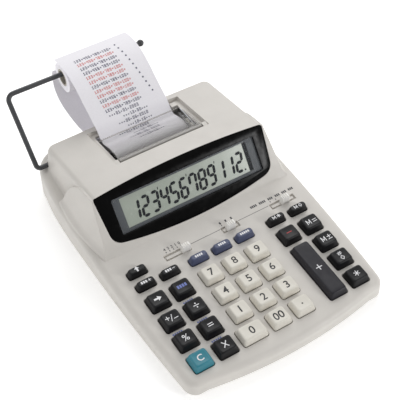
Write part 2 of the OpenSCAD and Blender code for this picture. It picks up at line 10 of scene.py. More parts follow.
import bmesh
import bpy
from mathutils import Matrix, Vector


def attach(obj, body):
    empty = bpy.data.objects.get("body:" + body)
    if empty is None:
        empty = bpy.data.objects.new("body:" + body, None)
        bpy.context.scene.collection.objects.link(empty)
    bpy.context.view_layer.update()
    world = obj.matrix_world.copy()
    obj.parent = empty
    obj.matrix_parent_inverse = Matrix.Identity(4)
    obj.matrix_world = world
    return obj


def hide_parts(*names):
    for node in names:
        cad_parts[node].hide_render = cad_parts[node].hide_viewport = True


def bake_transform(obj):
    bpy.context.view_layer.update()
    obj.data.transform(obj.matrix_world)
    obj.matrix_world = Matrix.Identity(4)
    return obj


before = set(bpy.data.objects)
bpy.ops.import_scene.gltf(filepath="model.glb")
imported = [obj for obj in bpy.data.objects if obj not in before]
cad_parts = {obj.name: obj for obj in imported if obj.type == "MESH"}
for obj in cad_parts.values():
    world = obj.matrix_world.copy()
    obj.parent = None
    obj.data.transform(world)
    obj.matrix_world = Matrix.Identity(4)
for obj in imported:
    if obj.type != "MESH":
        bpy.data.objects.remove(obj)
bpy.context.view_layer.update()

MM = 0.001
FRAME_Y = 17.25

# Case
CASE_HALF_W = 79.0
CASE_HALF_L = 111.0
WALL = 2.2
DECK_Z = 19.4
DECK_TILT = math.radians(3.2)
EDGE_R = 4.5
FOOT_H = 1.5
PARTING_Z = (6, 17)
PARTING_GAP = 0.15
BASE_R = 1.6
FRONT_SAG = 6.5
FRONT_CORNER_R = 9.0
REAR_CORNER_R = 22.0
FRONT_SAG_AT = 66
SIDE_MID_Y = 10.0
FRONT_TAPER = 3.7
FRONT_RUN = 105
REAR_TAPER = 4.2
REAR_RUN = 79

# Hood
BEZEL_TILT = math.radians(53)
BEZEL_FOOT_Y = 3.0
BEZEL_FOOT_Z = 19.5
RIDGE_Y = 27.7
RIDGE_Z = 52.3
RIDGE_CROWN = 2.6
HOOD_HALF_W = 66.0
HOOD_BACK_Y = 97.5
HOOD_BACK_Z = 42.8
HOOD_BACK_CROWN = 1.0
HOOD_BACK_FALL = 5
HOOD_BACK_SLOPE = 7.3
HOOD_RUN = HOOD_BACK_Y - HOOD_BACK_FALL - RIDGE_Y
HOOD_SLOPE = math.atan((RIDGE_Z - HOOD_BACK_Z) / HOOD_RUN)
HOOD_SIDE_LEAN = 4.0 / 33
HOOD_FOOT_R = 2.0
SEAM = 0.03
HOOD_EDGE_R = 3.0
HOOD_CORNER_R = 4.0
WING_TOP_Z = 51.6
WING_FOOT_Z = 18.0
WING_ROOT_X = 58.0

# Keys: column centres, row front edges along the deck
COL_X = [-59.8, -41.8, -19.8, -1.8, 16.2, 42, 60]
ROW_0 = -98.15
ROW_S = [0, 16.55, 33.1, 49.8, 68.3, 79.6]
KEY_W = 13.7
KEY_0_EXTRA = 4.4
KEY_D = 12.3
SMALL_KEY_D = 5.9
SMALL_FROM_ROW = 4
KEY_H = 4.8
KEY_GAP = 0.35
SIDE_IN = 1.25
FRONT_IN = 1.5
BACK_IN = 0.9
KEY_EDGE_R = 0.95
KEY_DISH = 0.38
SMALL_KEY_EDGE_R = 0.75
SMALL_KEY_DISH = 0.12

IVORY = "key_ivory"
BLACK = "key_black"
# name after "key_", column, row, material slot, legend
KEYS = [
    ("clear", 0, 0, "key_teal", "clear"),
    ("multiply", 1, 0, BLACK, "times"),
    ("0", 2, 0, IVORY, "0"),
    ("00", 3, 0, IVORY, "00"),
    ("point", 4, 0, IVORY, "dot"),
    ("plus", 5, 0, "key_plum", "plus"),
    ("total", 6, 0, BLACK, "star"),
    ("percent", 0, 1, BLACK, "%"),
    ("equals", 1, 1, BLACK, "equals"),
    ("1", 2, 1, IVORY, "1"),
    ("2", 3, 1, IVORY, "2"),
    ("3", 4, 1, IVORY, "3"),
    ("non_add", 6, 1, BLACK, "diamond"),
    ("sign", 0, 2, BLACK, "sign"),
    ("divide", 1, 2, BLACK, "divide"),
    ("4", 2, 2, IVORY, "4"),
    ("5", 3, 2, IVORY, "5"),
    ("6", 4, 2, IVORY, "6"),
    ("memory_plus", 6, 2, BLACK, "m_sign"),
    ("backspace", 0, 3, BLACK, "right"),
    ("time", 1, 3, BLACK, "clock"),
    ("7", 2, 3, IVORY, "7"),
    ("8", 3, 3, IVORY, "8"),
    ("9", 4, 3, IVORY, "9"),
    ("minus", 5, 3, BLACK, "minus"),
    ("memory_minus", 6, 3, BLACK, "m_equals"),
    ("tax_plus", 0, 4, BLACK, "bar_plus"),
    ("tax_minus", 1, 4, BLACK, "bar_minus"),
    ("cost", 2, 4, "key_slate", "bars_4"),
    ("sell", 3, 4, "key_slate", "bars_4"),
    ("margin", 4, 4, "key_slate", "bars_5"),
    ("memory_total", 5, 4, BLACK, "m_star"),
    ("memory_sub", 6, 4, BLACK, "m_diamond"),
    ("paper_feed", 0, 5, BLACK, "up"),
]
# name, slot centre, slot length, knob position
SWITCHES = [
    ("switch_decimal", -28.7, 19.5, -22.5),
    ("switch_rounding", 13.0, 13.5, 13.0),
    ("switch_mode", 56.0, 20.0, 57.5),
]
SWITCH_S = -15.3
SLOT_W = 4.8
RIB_PITCH = 1.45
# deck print: marks, words and the line, as distances along the deck
MARK_S = -11.2
WORD_S = -8.7
LINE_S = -13.6

# Printer recess and paper
RECESS_HALF_W = 36.8
RECESS_Y = (48.5, 91.5)
RECESS_DEPTH = 4.0
WINDOW_HALF_W = 33.0
WINDOW_Y = (49.6, 88.5)
COVER_PIN = (51.5, 47.6)
COVER_HALF_W = 32.4
TEETH = 42
PIVOT = (94.6, 27.4)
ROD_AT = (132.0, 67.2)
ROD_END_X = 31
WIRE_R = 1.75
ROLL_AT = (132.0, 63.85)
ROLL_R = 11.0
CORE_R = 5.2
CORE_T = 1.3
ROLL_X = -4.0
WINDING = 0.28
PAPER_W = 57.5
TAPE_X = -3.0
TAPE_PATH = [
    (144.1, 62), (145.3, 54), (143.4, 44.5), (136, 36), (120, 30.6), (104, 29.4),
    (92, 27), (80, 22), (70, 22.6), (63.8, 25.9), (62.9, 31.4), (62.8, 36.6), (64.6, 40.4),
    (69, 41.4), (74.5, 40.8), (80.5, 39.2), (84.4, 41.2), (86.4, 44),
    (89, 47.4), (94, 51.8), (102, 58.9), (110, 66.4), (118.5, 72.6), (127, 75.9), (134, 76.4), (139.5, 75.6),
]

# Underside and rear
SCREW_AT = [(-70.9, -58), (70.9, -58), (-72, 12), (72, 12), (-52, 86), (52, 86)]
SCREW_POST_R = 4.0
SCREW_HOLE_R = 1.5
SCREW_WELL_R = 2.8
FEET_AT = [(-60, -96), (60, -96), (-56, 96), (56, 96)]
FOOT_WELL_R = 5.1
JACK_R = 4.2
JACK_X = 42
JACK_Z = 11.5


# ---- places and meshes


def place(x, y, z):
    return Vector((x * MM, (y - FRAME_Y) * MM, z * MM))


def on_deck(x, s, n):
    c, t = math.cos(DECK_TILT), math.sin(DECK_TILT)
    return place(x, s * c - n * t, DECK_Z + s * t + n * c)


def on_bezel(x, u, n):
    c, t = math.cos(BEZEL_TILT), math.sin(BEZEL_TILT)
    return place(x, BEZEL_FOOT_Y + u * c - n * t, BEZEL_FOOT_Z + u * t + n * c)


def deck_height(y):
    return DECK_Z + y * math.tan(DECK_TILT)


def mix(a, b, t):
    return a + (b - a) * t


def add_object(name, data):
    obj = bpy.data.objects.new(name, data)
    bpy.context.scene.collection.objects.link(obj)
    return obj


def evaluated_mesh(obj):
    bpy.context.view_layer.update()
    return bpy.data.meshes.new_from_object(obj.evaluated_get(bpy.context.evaluated_depsgraph_get()))


def build(name, verts, faces, slots=(), smooth=35):
    """A mesh object in the frame, its normals outwards, shaded smooth up to the given angle."""
    mesh = bpy.data.meshes.new(name)
    mesh.from_pydata([tuple(v) for v in verts], [], faces)
    mesh.validate()
    obj = add_object(name, mesh)
    for m in slots:
        mesh.materials.append(m)
    bm = bmesh.new()
    bm.from_mesh(mesh)
    bmesh.ops.recalc_face_normals(bm, faces=bm.faces)
    bm.to_mesh(mesh)
    bm.free()
    shade(obj, smooth)
    return obj


def shade(obj, angle):
    obj.data.shade_smooth()
    obj.data.set_sharp_from_angle(angle=math.radians(angle))


def loft(name, loops, slots=(), smooth=35):
    """A closed solid through loops of equal length."""
    n = len(loops[0])
    verts = [v for loop in loops for v in loop]
    faces = []
    for i in range(len(loops) - 1):
        a, b = i * n, (i + 1) * n
        faces += [(a + j, a + (j + 1) % n, b + (j + 1) % n, b + j) for j in range(n)]
    faces.append(tuple(range(n))[::-1])
    faces.append(tuple(range(len(verts) - n, len(verts))))
    return build(name, verts, faces, slots, smooth)


def combine(base, other, operation):
    """Boolean of two solids, applied to the first; the other is used up."""
    mod = base.modifiers.new("combine", "BOOLEAN")
    mod.operation = operation
    mod.solver = "EXACT"
    mod.object = other
    mesh = evaluated_mesh(base)
    base.modifiers.clear()
    old = base.data
    base.data = mesh
    bpy.data.meshes.remove(old)
    bpy.data.objects.remove(other)


def add(base, other):
    combine(base, other, "UNION")


def cut(base, other):
    combine(base, other, "DIFFERENCE")


def join(name, parts, smooth=35):
    """One object from several, keeping their materials."""
    slots, verts, faces, index = [], [], [], []
    for part in parts:
        base = len(verts)
        verts += [v.co.copy() for v in part.data.vertices]
        local = []
        for m in part.data.materials:
            if m not in slots:
                slots.append(m)
            local.append(slots.index(m))
        for p in part.data.polygons:
            faces.append([base + i for i in p.vertices])
            index.append(local[p.material_index] if local else 0)
        bpy.data.objects.remove(part)
    obj = build(name, verts, faces, slots, smooth)
    for p, i in zip(obj.data.polygons, index):
        p.material_index = i
    return obj


def box(name, x, y, z, slots=(), where=place):
    loops = [
        [where(x[0], y[0], h), where(x[1], y[0], h), where(x[1], y[1], h), where(x[0], y[1], h)]
        for h in z
    ]
    return loft(name, loops, slots)


def angles(start, turn, steps):
    """Angles in radians, from start degrees through turn degrees."""
    return [math.radians(start + turn * i / steps) for i in range(steps + 1)]


def arc(cx, cy, r, start, turn, steps):
    return [(cx + r * math.cos(a), cy + r * math.sin(a)) for a in angles(start, turn, steps)]


def rounded_rect(x0, x1, y0, y1, r, steps=4):
    """Corner points of a rounded rectangle, anticlockwise."""
    left, right, low, high = x0 + r, x1 - r, y0 + r, y1 - r
    points = []
    for cx, cy, start in ((right, low, -90), (right, high, 0), (left, high, 90), (left, low, 180)):
        points += arc(cx, cy, r, start, 90, steps)
    return points


def along(points, step):
    """A smooth curve through 2D points, sampled at an even step."""
    fine = []
    last = len(points) - 1
    for i in range(last):
        a, b = Vector(points[max(i - 1, 0)]), Vector(points[i])
        c, d = Vector(points[i + 1]), Vector(points[min(i + 2, last)])
        for k in range(16):
            t = k / 16
            square, cube = 2 * a - 5 * b + 4 * c - d, 3 * b - a - 3 * c + d
            fine.append(0.5 * (2 * b + (c - a) * t + square * t * t + cube * t ** 3))
    fine.append(Vector(points[-1]))
    out = [fine[0]]
    left = step
    for p, q in zip(fine, fine[1:]):
        length = (q - p).length
        while left <= length:
            out.append(p.lerp(q, left / length))
            left += step
        left -= length
    out.append(fine[-1])
    return out


def tangent(path, i):
    return (path[min(i + 1, len(path) - 1)] - path[max(i - 1, 0)]).normalized()


def tube(name, path, radius, slots, steps=20, round_ends=True):
    """A round bar along 3D points given in metres, with domed ends."""
    side = tangent(path, 0).cross(Vector((0, 0, 1)))
    if side.length < 1e-3:
        side = tangent(path, 0).cross(Vector((0, 1, 0)))
    side.normalize()
    rings = []
    for i, p in enumerate(path):
        t = tangent(path, i)
        side = (side - t * side.dot(t)).normalized()
        rings.append((p, t, side, 0))
    dome = [0.98, 0.85, 0.6, 0.3] if round_ends else []
    head = [(rings[0][0] - rings[0][1] * radius * d, *rings[0][1:3], d) for d in dome]
    tail = [(rings[-1][0] + rings[-1][1] * radius * d, *rings[-1][1:3], d) for d in dome[::-1]]
    loops = []
    for p, t, side, d in head + rings + tail:
        other, r = t.cross(side), radius * math.sqrt(1 - d * d)
        turn = [2 * math.pi * k / steps for k in range(steps)]
        loops.append([p + (side * math.cos(a) + other * math.sin(a)) * r for a in turn])
    return loft(name, loops, slots, 50)


def cross_bar(name, x0, x1, at, radius, slots=(), steps=32):
    """A straight round bar along X with flat ends; at is its (y, z), all in millimetres."""
    return tube(name, [place(x0, *at), place(x1, *at)], radius * MM, slots, steps, False)


# ---- materials


def rgb(code):
    """Linear colour from a hex display colour."""
    values = [int(code[i:i + 2], 16) / 255 for i in (1, 3, 5)]
    return tuple(v / 12.92 if v <= 0.04045 else ((v + 0.055) / 1.055) ** 2.4 for v in values) + (1.0,)


def shaded(colour, factor):
    return tuple(min(1.0, c * factor) for c in colour[:3]) + (1.0,)


def grey(value):
    return (value, value, value, 1.0)


class Nodes:
    """Short names for building one material's nodes."""

    def __init__(self, name):
        self.mat = bpy.data.materials.new(name)
        self.mat.use_nodes = True
        self.tree = self.mat.node_tree
        self.bsdf = self.tree.nodes["Principled BSDF"]
        self.coords = self.tree.nodes.new("ShaderNodeTexCoord")

    def link(self, a, b):
        self.tree.links.new(a, b)

    def noise(self, scale, detail=3.0, stretch=(1, 1, 1)):
        mapping = self.tree.nodes.new("ShaderNodeMapping")
        mapping.inputs["Scale"].default_value = stretch
        tex = self.tree.nodes.new("ShaderNodeTexNoise")
        tex.inputs["Scale"].default_value = scale
        tex.inputs["Detail"].default_value = detail
        self.link(self.coords.outputs["Object"], mapping.inputs["Vector"])
        self.link(mapping.outputs["Vector"], tex.inputs["Vector"])
        return tex.outputs["Fac"]

    def vary(self, socket, fac, low, high):
        """Lets a shader socket wander between two values."""
        node = self.tree.nodes.new("ShaderNodeValToRGB")
        for element, position, colour in zip(node.color_ramp.elements, (0.35, 0.65), (low, high)):
            element.position = position
            element.color = colour
        self.link(fac, node.inputs["Fac"])
        self.link(node.outputs["Color"], self.bsdf.inputs[socket])

    def bump(self, height, strength, distance):
        node = self.tree.nodes.new("ShaderNodeBump")
        node.inputs["Strength"].default_value = strength
        node.inputs["Distance"].default_value = distance * MM
        self.link(height, node.inputs["Height"])
        self.link(node.outputs["Normal"], self.bsdf.inputs["Normal"])

    def set(self, **values):
        for key, value in values.items():
            self.bsdf.inputs[key.replace("_", " ")].default_value = value


def moulded(name, code, rough, grain=1400, depth=0.05, vary=0.05, spec=0.5):
    """Moulded plastic: slight mottling, uneven sheen and a fine spark-eroded grain."""
    n = Nodes(name)
    colour = rgb(code)
    n.vary("Base Color", n.noise(60, 4), shaded(colour, 1 - vary), shaded(colour, 1 + vary))
    n.vary("Roughness", n.noise(260, 3), grey(rough - 0.05), grey(rough + 0.06))
    n.bump(n.noise(grain, 2), 0.35, depth)
    n.set(Specular_IOR_Level=spec)
    return n.mat


def metal(name, code, rough, stretch=(1, 1, 1)):
    n = Nodes(name)
    colour = rgb(code)
    n.vary("Base Color", n.noise(900, 4, stretch), shaded(colour, 0.85), colour)
    n.vary("Roughness", n.noise(500, 3, stretch), grey(rough - 0.06), grey(rough + 0.08))
    n.set(Metallic=1.0)
    return n.mat


def clear(name, code, rough, alpha, spec=0.6):
    """Clear or smoked plastic, thin enough to be seen straight through."""
    n = Nodes(name)
    n.set(Base_Color=rgb(code), Alpha=alpha, Specular_IOR_Level=spec)
    n.vary("Roughness", n.noise(180, 3), grey(rough), grey(rough + 0.06))
    return n.mat


def smoked_cover_painted_shade(name, code, front, back):
    """Smoked plastic whose opacity rises towards the front, as painted shade for the dim front of the recess;
    front and back are (y in case mm, opacity).
    """
    n = Nodes(name)
    split = n.tree.nodes.new("ShaderNodeSeparateXYZ")
    n.link(n.coords.outputs["Object"], split.inputs["Vector"])
    scale = n.tree.nodes.new("ShaderNodeMapRange")
    for end, (y, opacity) in (("Min", front), ("Max", back)):
        scale.inputs["From " + end].default_value = (y - FRAME_Y) * MM
        scale.inputs["To " + end].default_value = opacity
    n.link(split.outputs["Y"], scale.inputs["Value"])
    n.link(scale.outputs["Result"], n.bsdf.inputs["Alpha"])
    n.set(Base_Color=rgb(code), Roughness=0.12, Specular_IOR_Level=0.6)
    return n.mat


def paper(name, code):
    n = Nodes(name)
    colour = rgb(code)
    n.vary("Base Color", n.noise(700, 5, (1, 3, 3)), shaded(colour, 0.965), colour)
    n.bump(n.noise(1600, 3), 0.2, 0.02)
    n.set(Roughness=0.72, Specular_IOR_Level=0.25)
    return n.mat


CASE = moulded("case_plastic", "#d2cec8", 0.46, vary=0.02)
LENS = moulded("lens_black", "#020202", 0.2, grain=300, depth=0.004, spec=0.10)
LENS_CLEAR = clear("lens_window", "#c8ccd2", 0.14, 0.02, spec=0.15)
LCD_FRAME = moulded("lcd_frame_grey", "#4e5256", 0.42, spec=0.25)
LCD_GLASS = moulded("lcd_glass", "#a7afa3", 0.22, grain=500, depth=0.004, vary=0.03)
LCD_INK = moulded("lcd_ink", "#1a1c1f", 0.5, grain=500, depth=0.004, spec=0.08)
KEY_MATERIALS = {
    "key_ivory": moulded("key_ivory", "#dedad0", 0.40, vary=0.02),
    "key_black": moulded("key_black", "#0f0f12", 0.40, spec=0.3),
    "key_plum": moulded("key_plum", "#232228", 0.40, spec=0.3),
    "key_teal": moulded("key_teal", "#2f7f8f", 0.38),
    "key_slate": moulded("key_slate", "#444c6a", 0.38),
}
SWITCH = moulded("switch_ivory", "#f4f2ee", 0.42, vary=0.02)
PRINT_BLACK = moulded("legend_black", "#1c1c20", 0.45)
PRINT_WHITE = moulded("legend_white", "#e8e8ea", 0.45, vary=0.02)
PRINT_RED = moulded("legend_red", "#b02a30", 0.45)
PRINT_BLUE = moulded("legend_blue", "#6a78b8", 0.45)
PRINT_GREY = moulded("legend_grey", "#323236", 0.45)
MECHANISM = moulded("mechanism_black", "#1b1b1d", 0.42)
DARK_INSIDE = moulded("mechanism_grey", "#2e2e30", 0.42)
PLATEN = moulded("platen_rubber", "#2a2a2c", 0.65, grain=900)
GEAR_WHITE = moulded("gear_white", "#d8d4c8", 0.42)
BRASS = metal("gear_brass", "#c2a45a", 0.3)
STEEL = metal("motor_steel", "#a4a6aa", 0.3, (1, 8, 8))
INK = moulded("ink_purple", "#3b2d55", 0.6)
# the cover's opacity ramp is painted shade: denser and darker towards the front
SMOKE_PAINTED_SHADE = smoked_cover_painted_shade("cover_smoke", "#6f6b68", (58, 0.32), (80, 0.03))
# pale, half-opaque clear plastic for the cover's front lip and teeth: partly their own look, partly a painted
# highlight for the shine along the lip
LIP_PAINTED_HIGHLIGHT = clear("cover_lip", "#bdbab5", 0.14, 0.6)
ARM = moulded("arm_grey", "#3f4043", 0.36, grain=900, depth=0.03, vary=0.08)
CARD = paper("core_card", "#b8b2a8")
PAPER = paper("paper_white", "#f8f6fb")
TAPE_INK = moulded("tape_ink_violet", "#262450", 0.7)
TAPE_RED = moulded("tape_ink_red", "#d0605c", 0.7)
BOARD = moulded("board_green", "#2f6b46", 0.4)
RUBBER = moulded("feet_rubber", "#29292b", 0.7, grain=900)
MAT_RUBBER = moulded("mat_rubber", "#505256", 0.7, grain=900)


# ---- case


def half_width(y):
    if y < SIDE_MID_Y:
        return CASE_HALF_W - FRONT_TAPER * ((SIDE_MID_Y - y) / FRONT_RUN) ** 2
    return CASE_HALF_W - REAR_TAPER * ((y - SIDE_MID_Y) / REAR_RUN) ** 4


def outline(inset):
    """Plan outline of the case, moved inwards."""
    corner_y = -CASE_HALF_L + FRONT_SAG + FRONT_CORNER_R - 1
    rear_y = CASE_HALF_L - REAR_CORNER_R
    front_x = half_width(corner_y) - FRONT_CORNER_R
    rear_x = half_width(rear_y) - REAR_CORNER_R
    front = [i * front_x / 15 for i in range(15)]
    sides = [mix(corner_y, rear_y, i / 30) for i in range(1, 30)]
    right = [(x, -CASE_HALF_L + FRONT_SAG * (x / FRONT_SAG_AT) ** 2 + inset) for x in front]
    right += arc(front_x, corner_y, FRONT_CORNER_R - inset, -76, 76, 8)
    right += [(half_width(y) - inset, y) for y in sides]
    right += arc(rear_x, rear_y, REAR_CORNER_R - inset, 0, 90, 12)
    right += [(rear_x * (1 - i / 6), CASE_HALF_L - inset) for i in range(1, 6)]
    return right + [(0, CASE_HALF_L - inset)] + [(-x, y) for x, y in right[:0:-1]]


def case_solid(name, d, shoulder):
    """The case without its hood, shrunk by d; shoulder counts the steps of its upper edge."""
    loops = []
    for a in angles(0, 90, 4):
        z = FOOT_H + d + BASE_R * (1 - math.cos(a))
        loops.append([place(x, y, z) for x, y in outline(d + BASE_R * (1 - math.sin(a)))])
    for a in angles(0, 90, shoulder):
        n = -d - EDGE_R * (1 - math.sin(a))
        loops.append([on_deck(x, y, n) for x, y in outline(d + EDGE_R * (1 - math.cos(a)))])
    return loft(name, loops, [CASE])


def soft_min(a, b, k):
    """The smaller of two heights, blended over k where they are close."""
    h = max(k - abs(a - b), 0) / k
    return min(a, b) - h * h * k / 4


def hood_top(x, y):
    v = (y - RIDGE_Y) / HOOD_RUN
    return mix(RIDGE_Z, HOOD_BACK_Z, v) + mix(RIDGE_CROWN, HOOD_BACK_CROWN, v) * (1 - (x / HOOD_HALF_W) ** 2)


def hood_height(x, y, d=0.0):
    """Height of the hood's skin over the plan, shrunk by d."""
    front = BEZEL_FOOT_Z + (y - d / math.sin(BEZEL_TILT) - BEZEL_FOOT_Y) * math.tan(BEZEL_TILT)
    back = HOOD_BACK_Z - HOOD_BACK_FALL - (y - HOOD_BACK_Y + d) * HOOD_BACK_SLOPE
    height = soft_min(soft_min(hood_top(x, y) - d, front, 1.6), back, 5.0)
    if d > 0:
        return height
    return -soft_min(-height, SEAM - deck_height(y), 2.2)


def hood_section(y, d):
    """Half of the hood's cross-section, from the middle to the foot of its side."""
    past = min(max(y - HOOD_BACK_Y + 1 + HOOD_CORNER_R, 0.0), HOOD_CORNER_R)
    inset = HOOD_CORNER_R - math.sqrt(HOOD_CORNER_R ** 2 - past ** 2)
    edge = HOOD_HALF_W - d - inset * 0.8
    floor = deck_height(y) - (8 if d > 0 else SEAM)
    tall = max(hood_height(edge - HOOD_EDGE_R, y, d) - floor, 0.0)
    r = min(HOOD_EDGE_R, tall * 0.45)
    f = 0 if d > 0 else min(HOOD_FOOT_R, tall * 0.3)
    half = [(x, hood_height(x, y, d)) for x in ((edge - r) * i / 24 for i in range(25))]
    top = half[-1][1]
    for a in angles(0, 90, 7)[1:]:
        drop = r * (1 - math.cos(a))
        half.append((edge - r + r * math.sin(a) + HOOD_SIDE_LEAN * drop, top - drop))
    low = floor + f
    for i in range(1, 9):
        z = mix(top - r, low, i / 8)
        half.append((edge + HOOD_SIDE_LEAN * (top - z), z))
    foot = half[-1][0]
    for a in angles(0, 90, 5)[1:]:
        half.append((foot + f * (1 - math.cos(a)), low - f * math.sin(a)))
    half.append((foot + f, floor - 4))
    return half


def hood_solid(name, d):
    """The hood shrunk by d, lofted from front to back with close stations where it bends."""
    y = BEZEL_FOOT_Y - 3.0 if d == 0 else BEZEL_FOOT_Y + 2.8
    end = HOOD_BACK_Y + 5 if d == 0 else HOOD_BACK_Y - d + 2.6
    stations = []
    while y < end:
        stations.append(y)
        near_ridge = abs(y - RIDGE_Y - 0.8) < 3
        near_foot = y < BEZEL_FOOT_Y + 4
        near_back = y > HOOD_BACK_Y - 6
        y += 0.25 if near_back or near_ridge else 0.4 if near_foot else 1.5
    stations.append(end)
    loops = []
    for y in stations:
        half = hood_section(y, d)
        ring = [(-x, z) for x, z in half[:0:-1]] + half
        loops.append([place(x, y, z) for x, z in ring])
    return loft(name, loops, [CASE])


def wing_plan(t, steps=22):
    """Rounded plan section of the flare beside the display; t runs from the deck up to the lens corner."""
    level = mix(WING_FOOT_Z, WING_TOP_Z, t)
    crease_x = mix(71.5, 67.0, t)
    lip_x = mix(74.6, 66.4, t ** 0.85)
    lip_y = mix(RIDGE_Y + 2.2, 62.0, math.sqrt(max(0.0, 1 - t ** 2.2)))
    bulge = 2.6 * (1 - t) ** 0.8
    crease_y = BEZEL_FOOT_Y + (level - BEZEL_FOOT_Z) / math.tan(BEZEL_TILT)
    flare = 1.8 * max(0.0, 1 - max(level - 20.5, 0) / 4.5) ** 2
    r = 1.0
    points = [(WING_ROOT_X, crease_y)]
    points += arc(crease_x - r + flare, crease_y + r - flare * 0.2, r, -90, 90, 4)
    for i in range(1, steps):
        u = i / steps
        x = mix(crease_x, lip_x, u) + bulge * 4 * u * (1 - u) + flare
        points.append((x, mix(crease_y + r, lip_y - r, u)))
    points += arc(lip_x - r + flare, lip_y - r + flare * 0.5, r, 0, 90, 4)
    return points + [(WING_ROOT_X, lip_y)], level


def wing_solid(name, side):
    loops = []
    for i in range(41):
        t = i / 40
        points, level = wing_plan(t)
        loop = []
        for x, y in points:
            z = level + (y - BEZEL_FOOT_Y) * math.tan(DECK_TILT) * (1 - t)
            limit = hood_top(min(x, HOOD_HALF_W), y) - 0.9
            loop.append(place(side * x, y, min(z, limit)))
        loops.append(loop if side > 0 else loop[::-1])
    return loft(name, loops, [CASE])


def parting_solid(name, upper):
    """Everything on one side of the parting line, which rises towards the back."""
    gap = PARTING_GAP if upper else -PARTING_GAP
    far = 90 if upper else -20
    ys = [-140, -20, -12, 0, 12, 24, 36, 48, 58, 140]
    line = [(y, mix(*PARTING_Z, min(max((y + 20) / 78, 0), 1)) + gap) for y in ys]
    ring = line + [(140, far), (-140, far)]
    loops = [[place(x, y, z) for y, z in ring] for x in (-100, 100)]
    return loft(name, loops, [CASE])


def key_box(key):
    """Left, right, front and back of a key at the deck."""
    name, col, row = key[:3]
    x0 = COL_X[col] - KEY_W / 2 - (KEY_0_EXTRA if name == "0" else 0)
    s0 = ROW_0 + ROW_S[row]
    depth = SMALL_KEY_D if row >= SMALL_FROM_ROW else KEY_D
    if name == "plus":
        depth = ROW_S[2] + KEY_D
    return x0, COL_X[col] + KEY_W / 2, s0, s0 + depth


def slot_cutter(rect, levels, where=on_deck):
    """Upright cutter with rounded corners; rect is (x0, x1, y0, y1, radius), levels are (height, growth)."""
    x0, x1, y0, y1, r = rect
    rings = [(h, rounded_rect(x0 - g, x1 + g, y0 - g, y1 + g, r + g)) for h, g in levels]
    return loft("cutter", [[where(x, y, h) for x, y in ring] for h, ring in rings])


def around(x, y, half_x, half_y, r):
    """A rect for slot_cutter about its middle."""
    return x - half_x, x + half_x, y - half_y, y + half_y, r


def deck_cutters():
    """Key openings with eased edges, and the switch slots."""
    cutters = []
    for key in KEYS:
        x0, x1, s0, s1 = key_box(key)
        rect = (x0 - KEY_GAP, x1 + KEY_GAP, s0 - KEY_GAP, s1 + KEY_GAP, 1.5)
        cutters.append(slot_cutter(rect, [(-6, 0), (-0.3, 0), (0.05, 0.35), (6, 0.35)]))
    for _, centre, length, _ in SWITCHES:
        slot = around(centre, SWITCH_S, length / 2, SLOT_W / 2, 0.5)
        cutters.append(slot_cutter(slot, [(-1.5, 0), (-0.2, 0), (0.05, 0.25), (6, 0.25)]))
        slit = around(centre, SWITCH_S, length / 2 - 1.2, 1, 0.4)
        cutters.append(slot_cutter(slit, [(-6, 0), (-0.5, 0)]))
    return join("cutters", cutters)


def on_hood(x, v, n):
    """v runs back along the hood's top from the ridge, n is up from its middle line."""
    c, t = math.cos(HOOD_SLOPE), math.sin(HOOD_SLOPE)
    return place(x, RIDGE_Y + v * c + n * t, RIDGE_Z + 1.9 - v * t + n * c)


def hood_v(y):
    return (y - RIDGE_Y) / math.cos(HOOD_SLOPE)


def lens_outline(grow):
    """Outline of the display lens in the bezel's plane: two bowed edges between rounded corners."""
    steps = 28
    spread = [2 * i / steps - 1 for i in range(steps + 1)]
    sharp = [Vector((63.0 * t, 1.4 + 6.4 * t * t)) for t in spread]
    sharp += [Vector((-65.9 * t, 44.2 - 3.4 * t * t)) for t in spread]
    corners = {0: 7.5, steps: 7.5, steps + 1: 2.0, 2 * steps + 1: 2.0}
    out = []
    for i, p in enumerate(sharp):
        if i in corners:
            before, after = (walk(sharp, i, step, corners[i]) for step in (-1, 1))
            for k in range(9):
                t = k / 8
                out.append((1 - t) ** 2 * before + 2 * t * (1 - t) * p + t * t * after)
        elif all((sharp[j] - p).length >= r * 0.95 for j, r in corners.items()):
            out.append(p)
    return [(p.x, p.y) for p in offset_loop(out, grow)]


def walk(points, i, step, distance):
    """The point that lies the given distance along a closed polygon from corner i."""
    n = len(points)
    p = points[i]
    while True:
        i = (i + step) % n
        q = points[i]
        length = (q - p).length
        if length >= distance:
            return p.lerp(q, distance / length)
        distance -= length
        p = q


def offset_loop(points, grow):
    """An anticlockwise closed loop moved outwards by grow."""
    out = []
    n = len(points)
    for i in range(n):
        t = (points[(i + 1) % n] - points[i - 1]).normalized()
        out.append(points[i] + Vector((t.y, -t.x)) * grow)
    return out


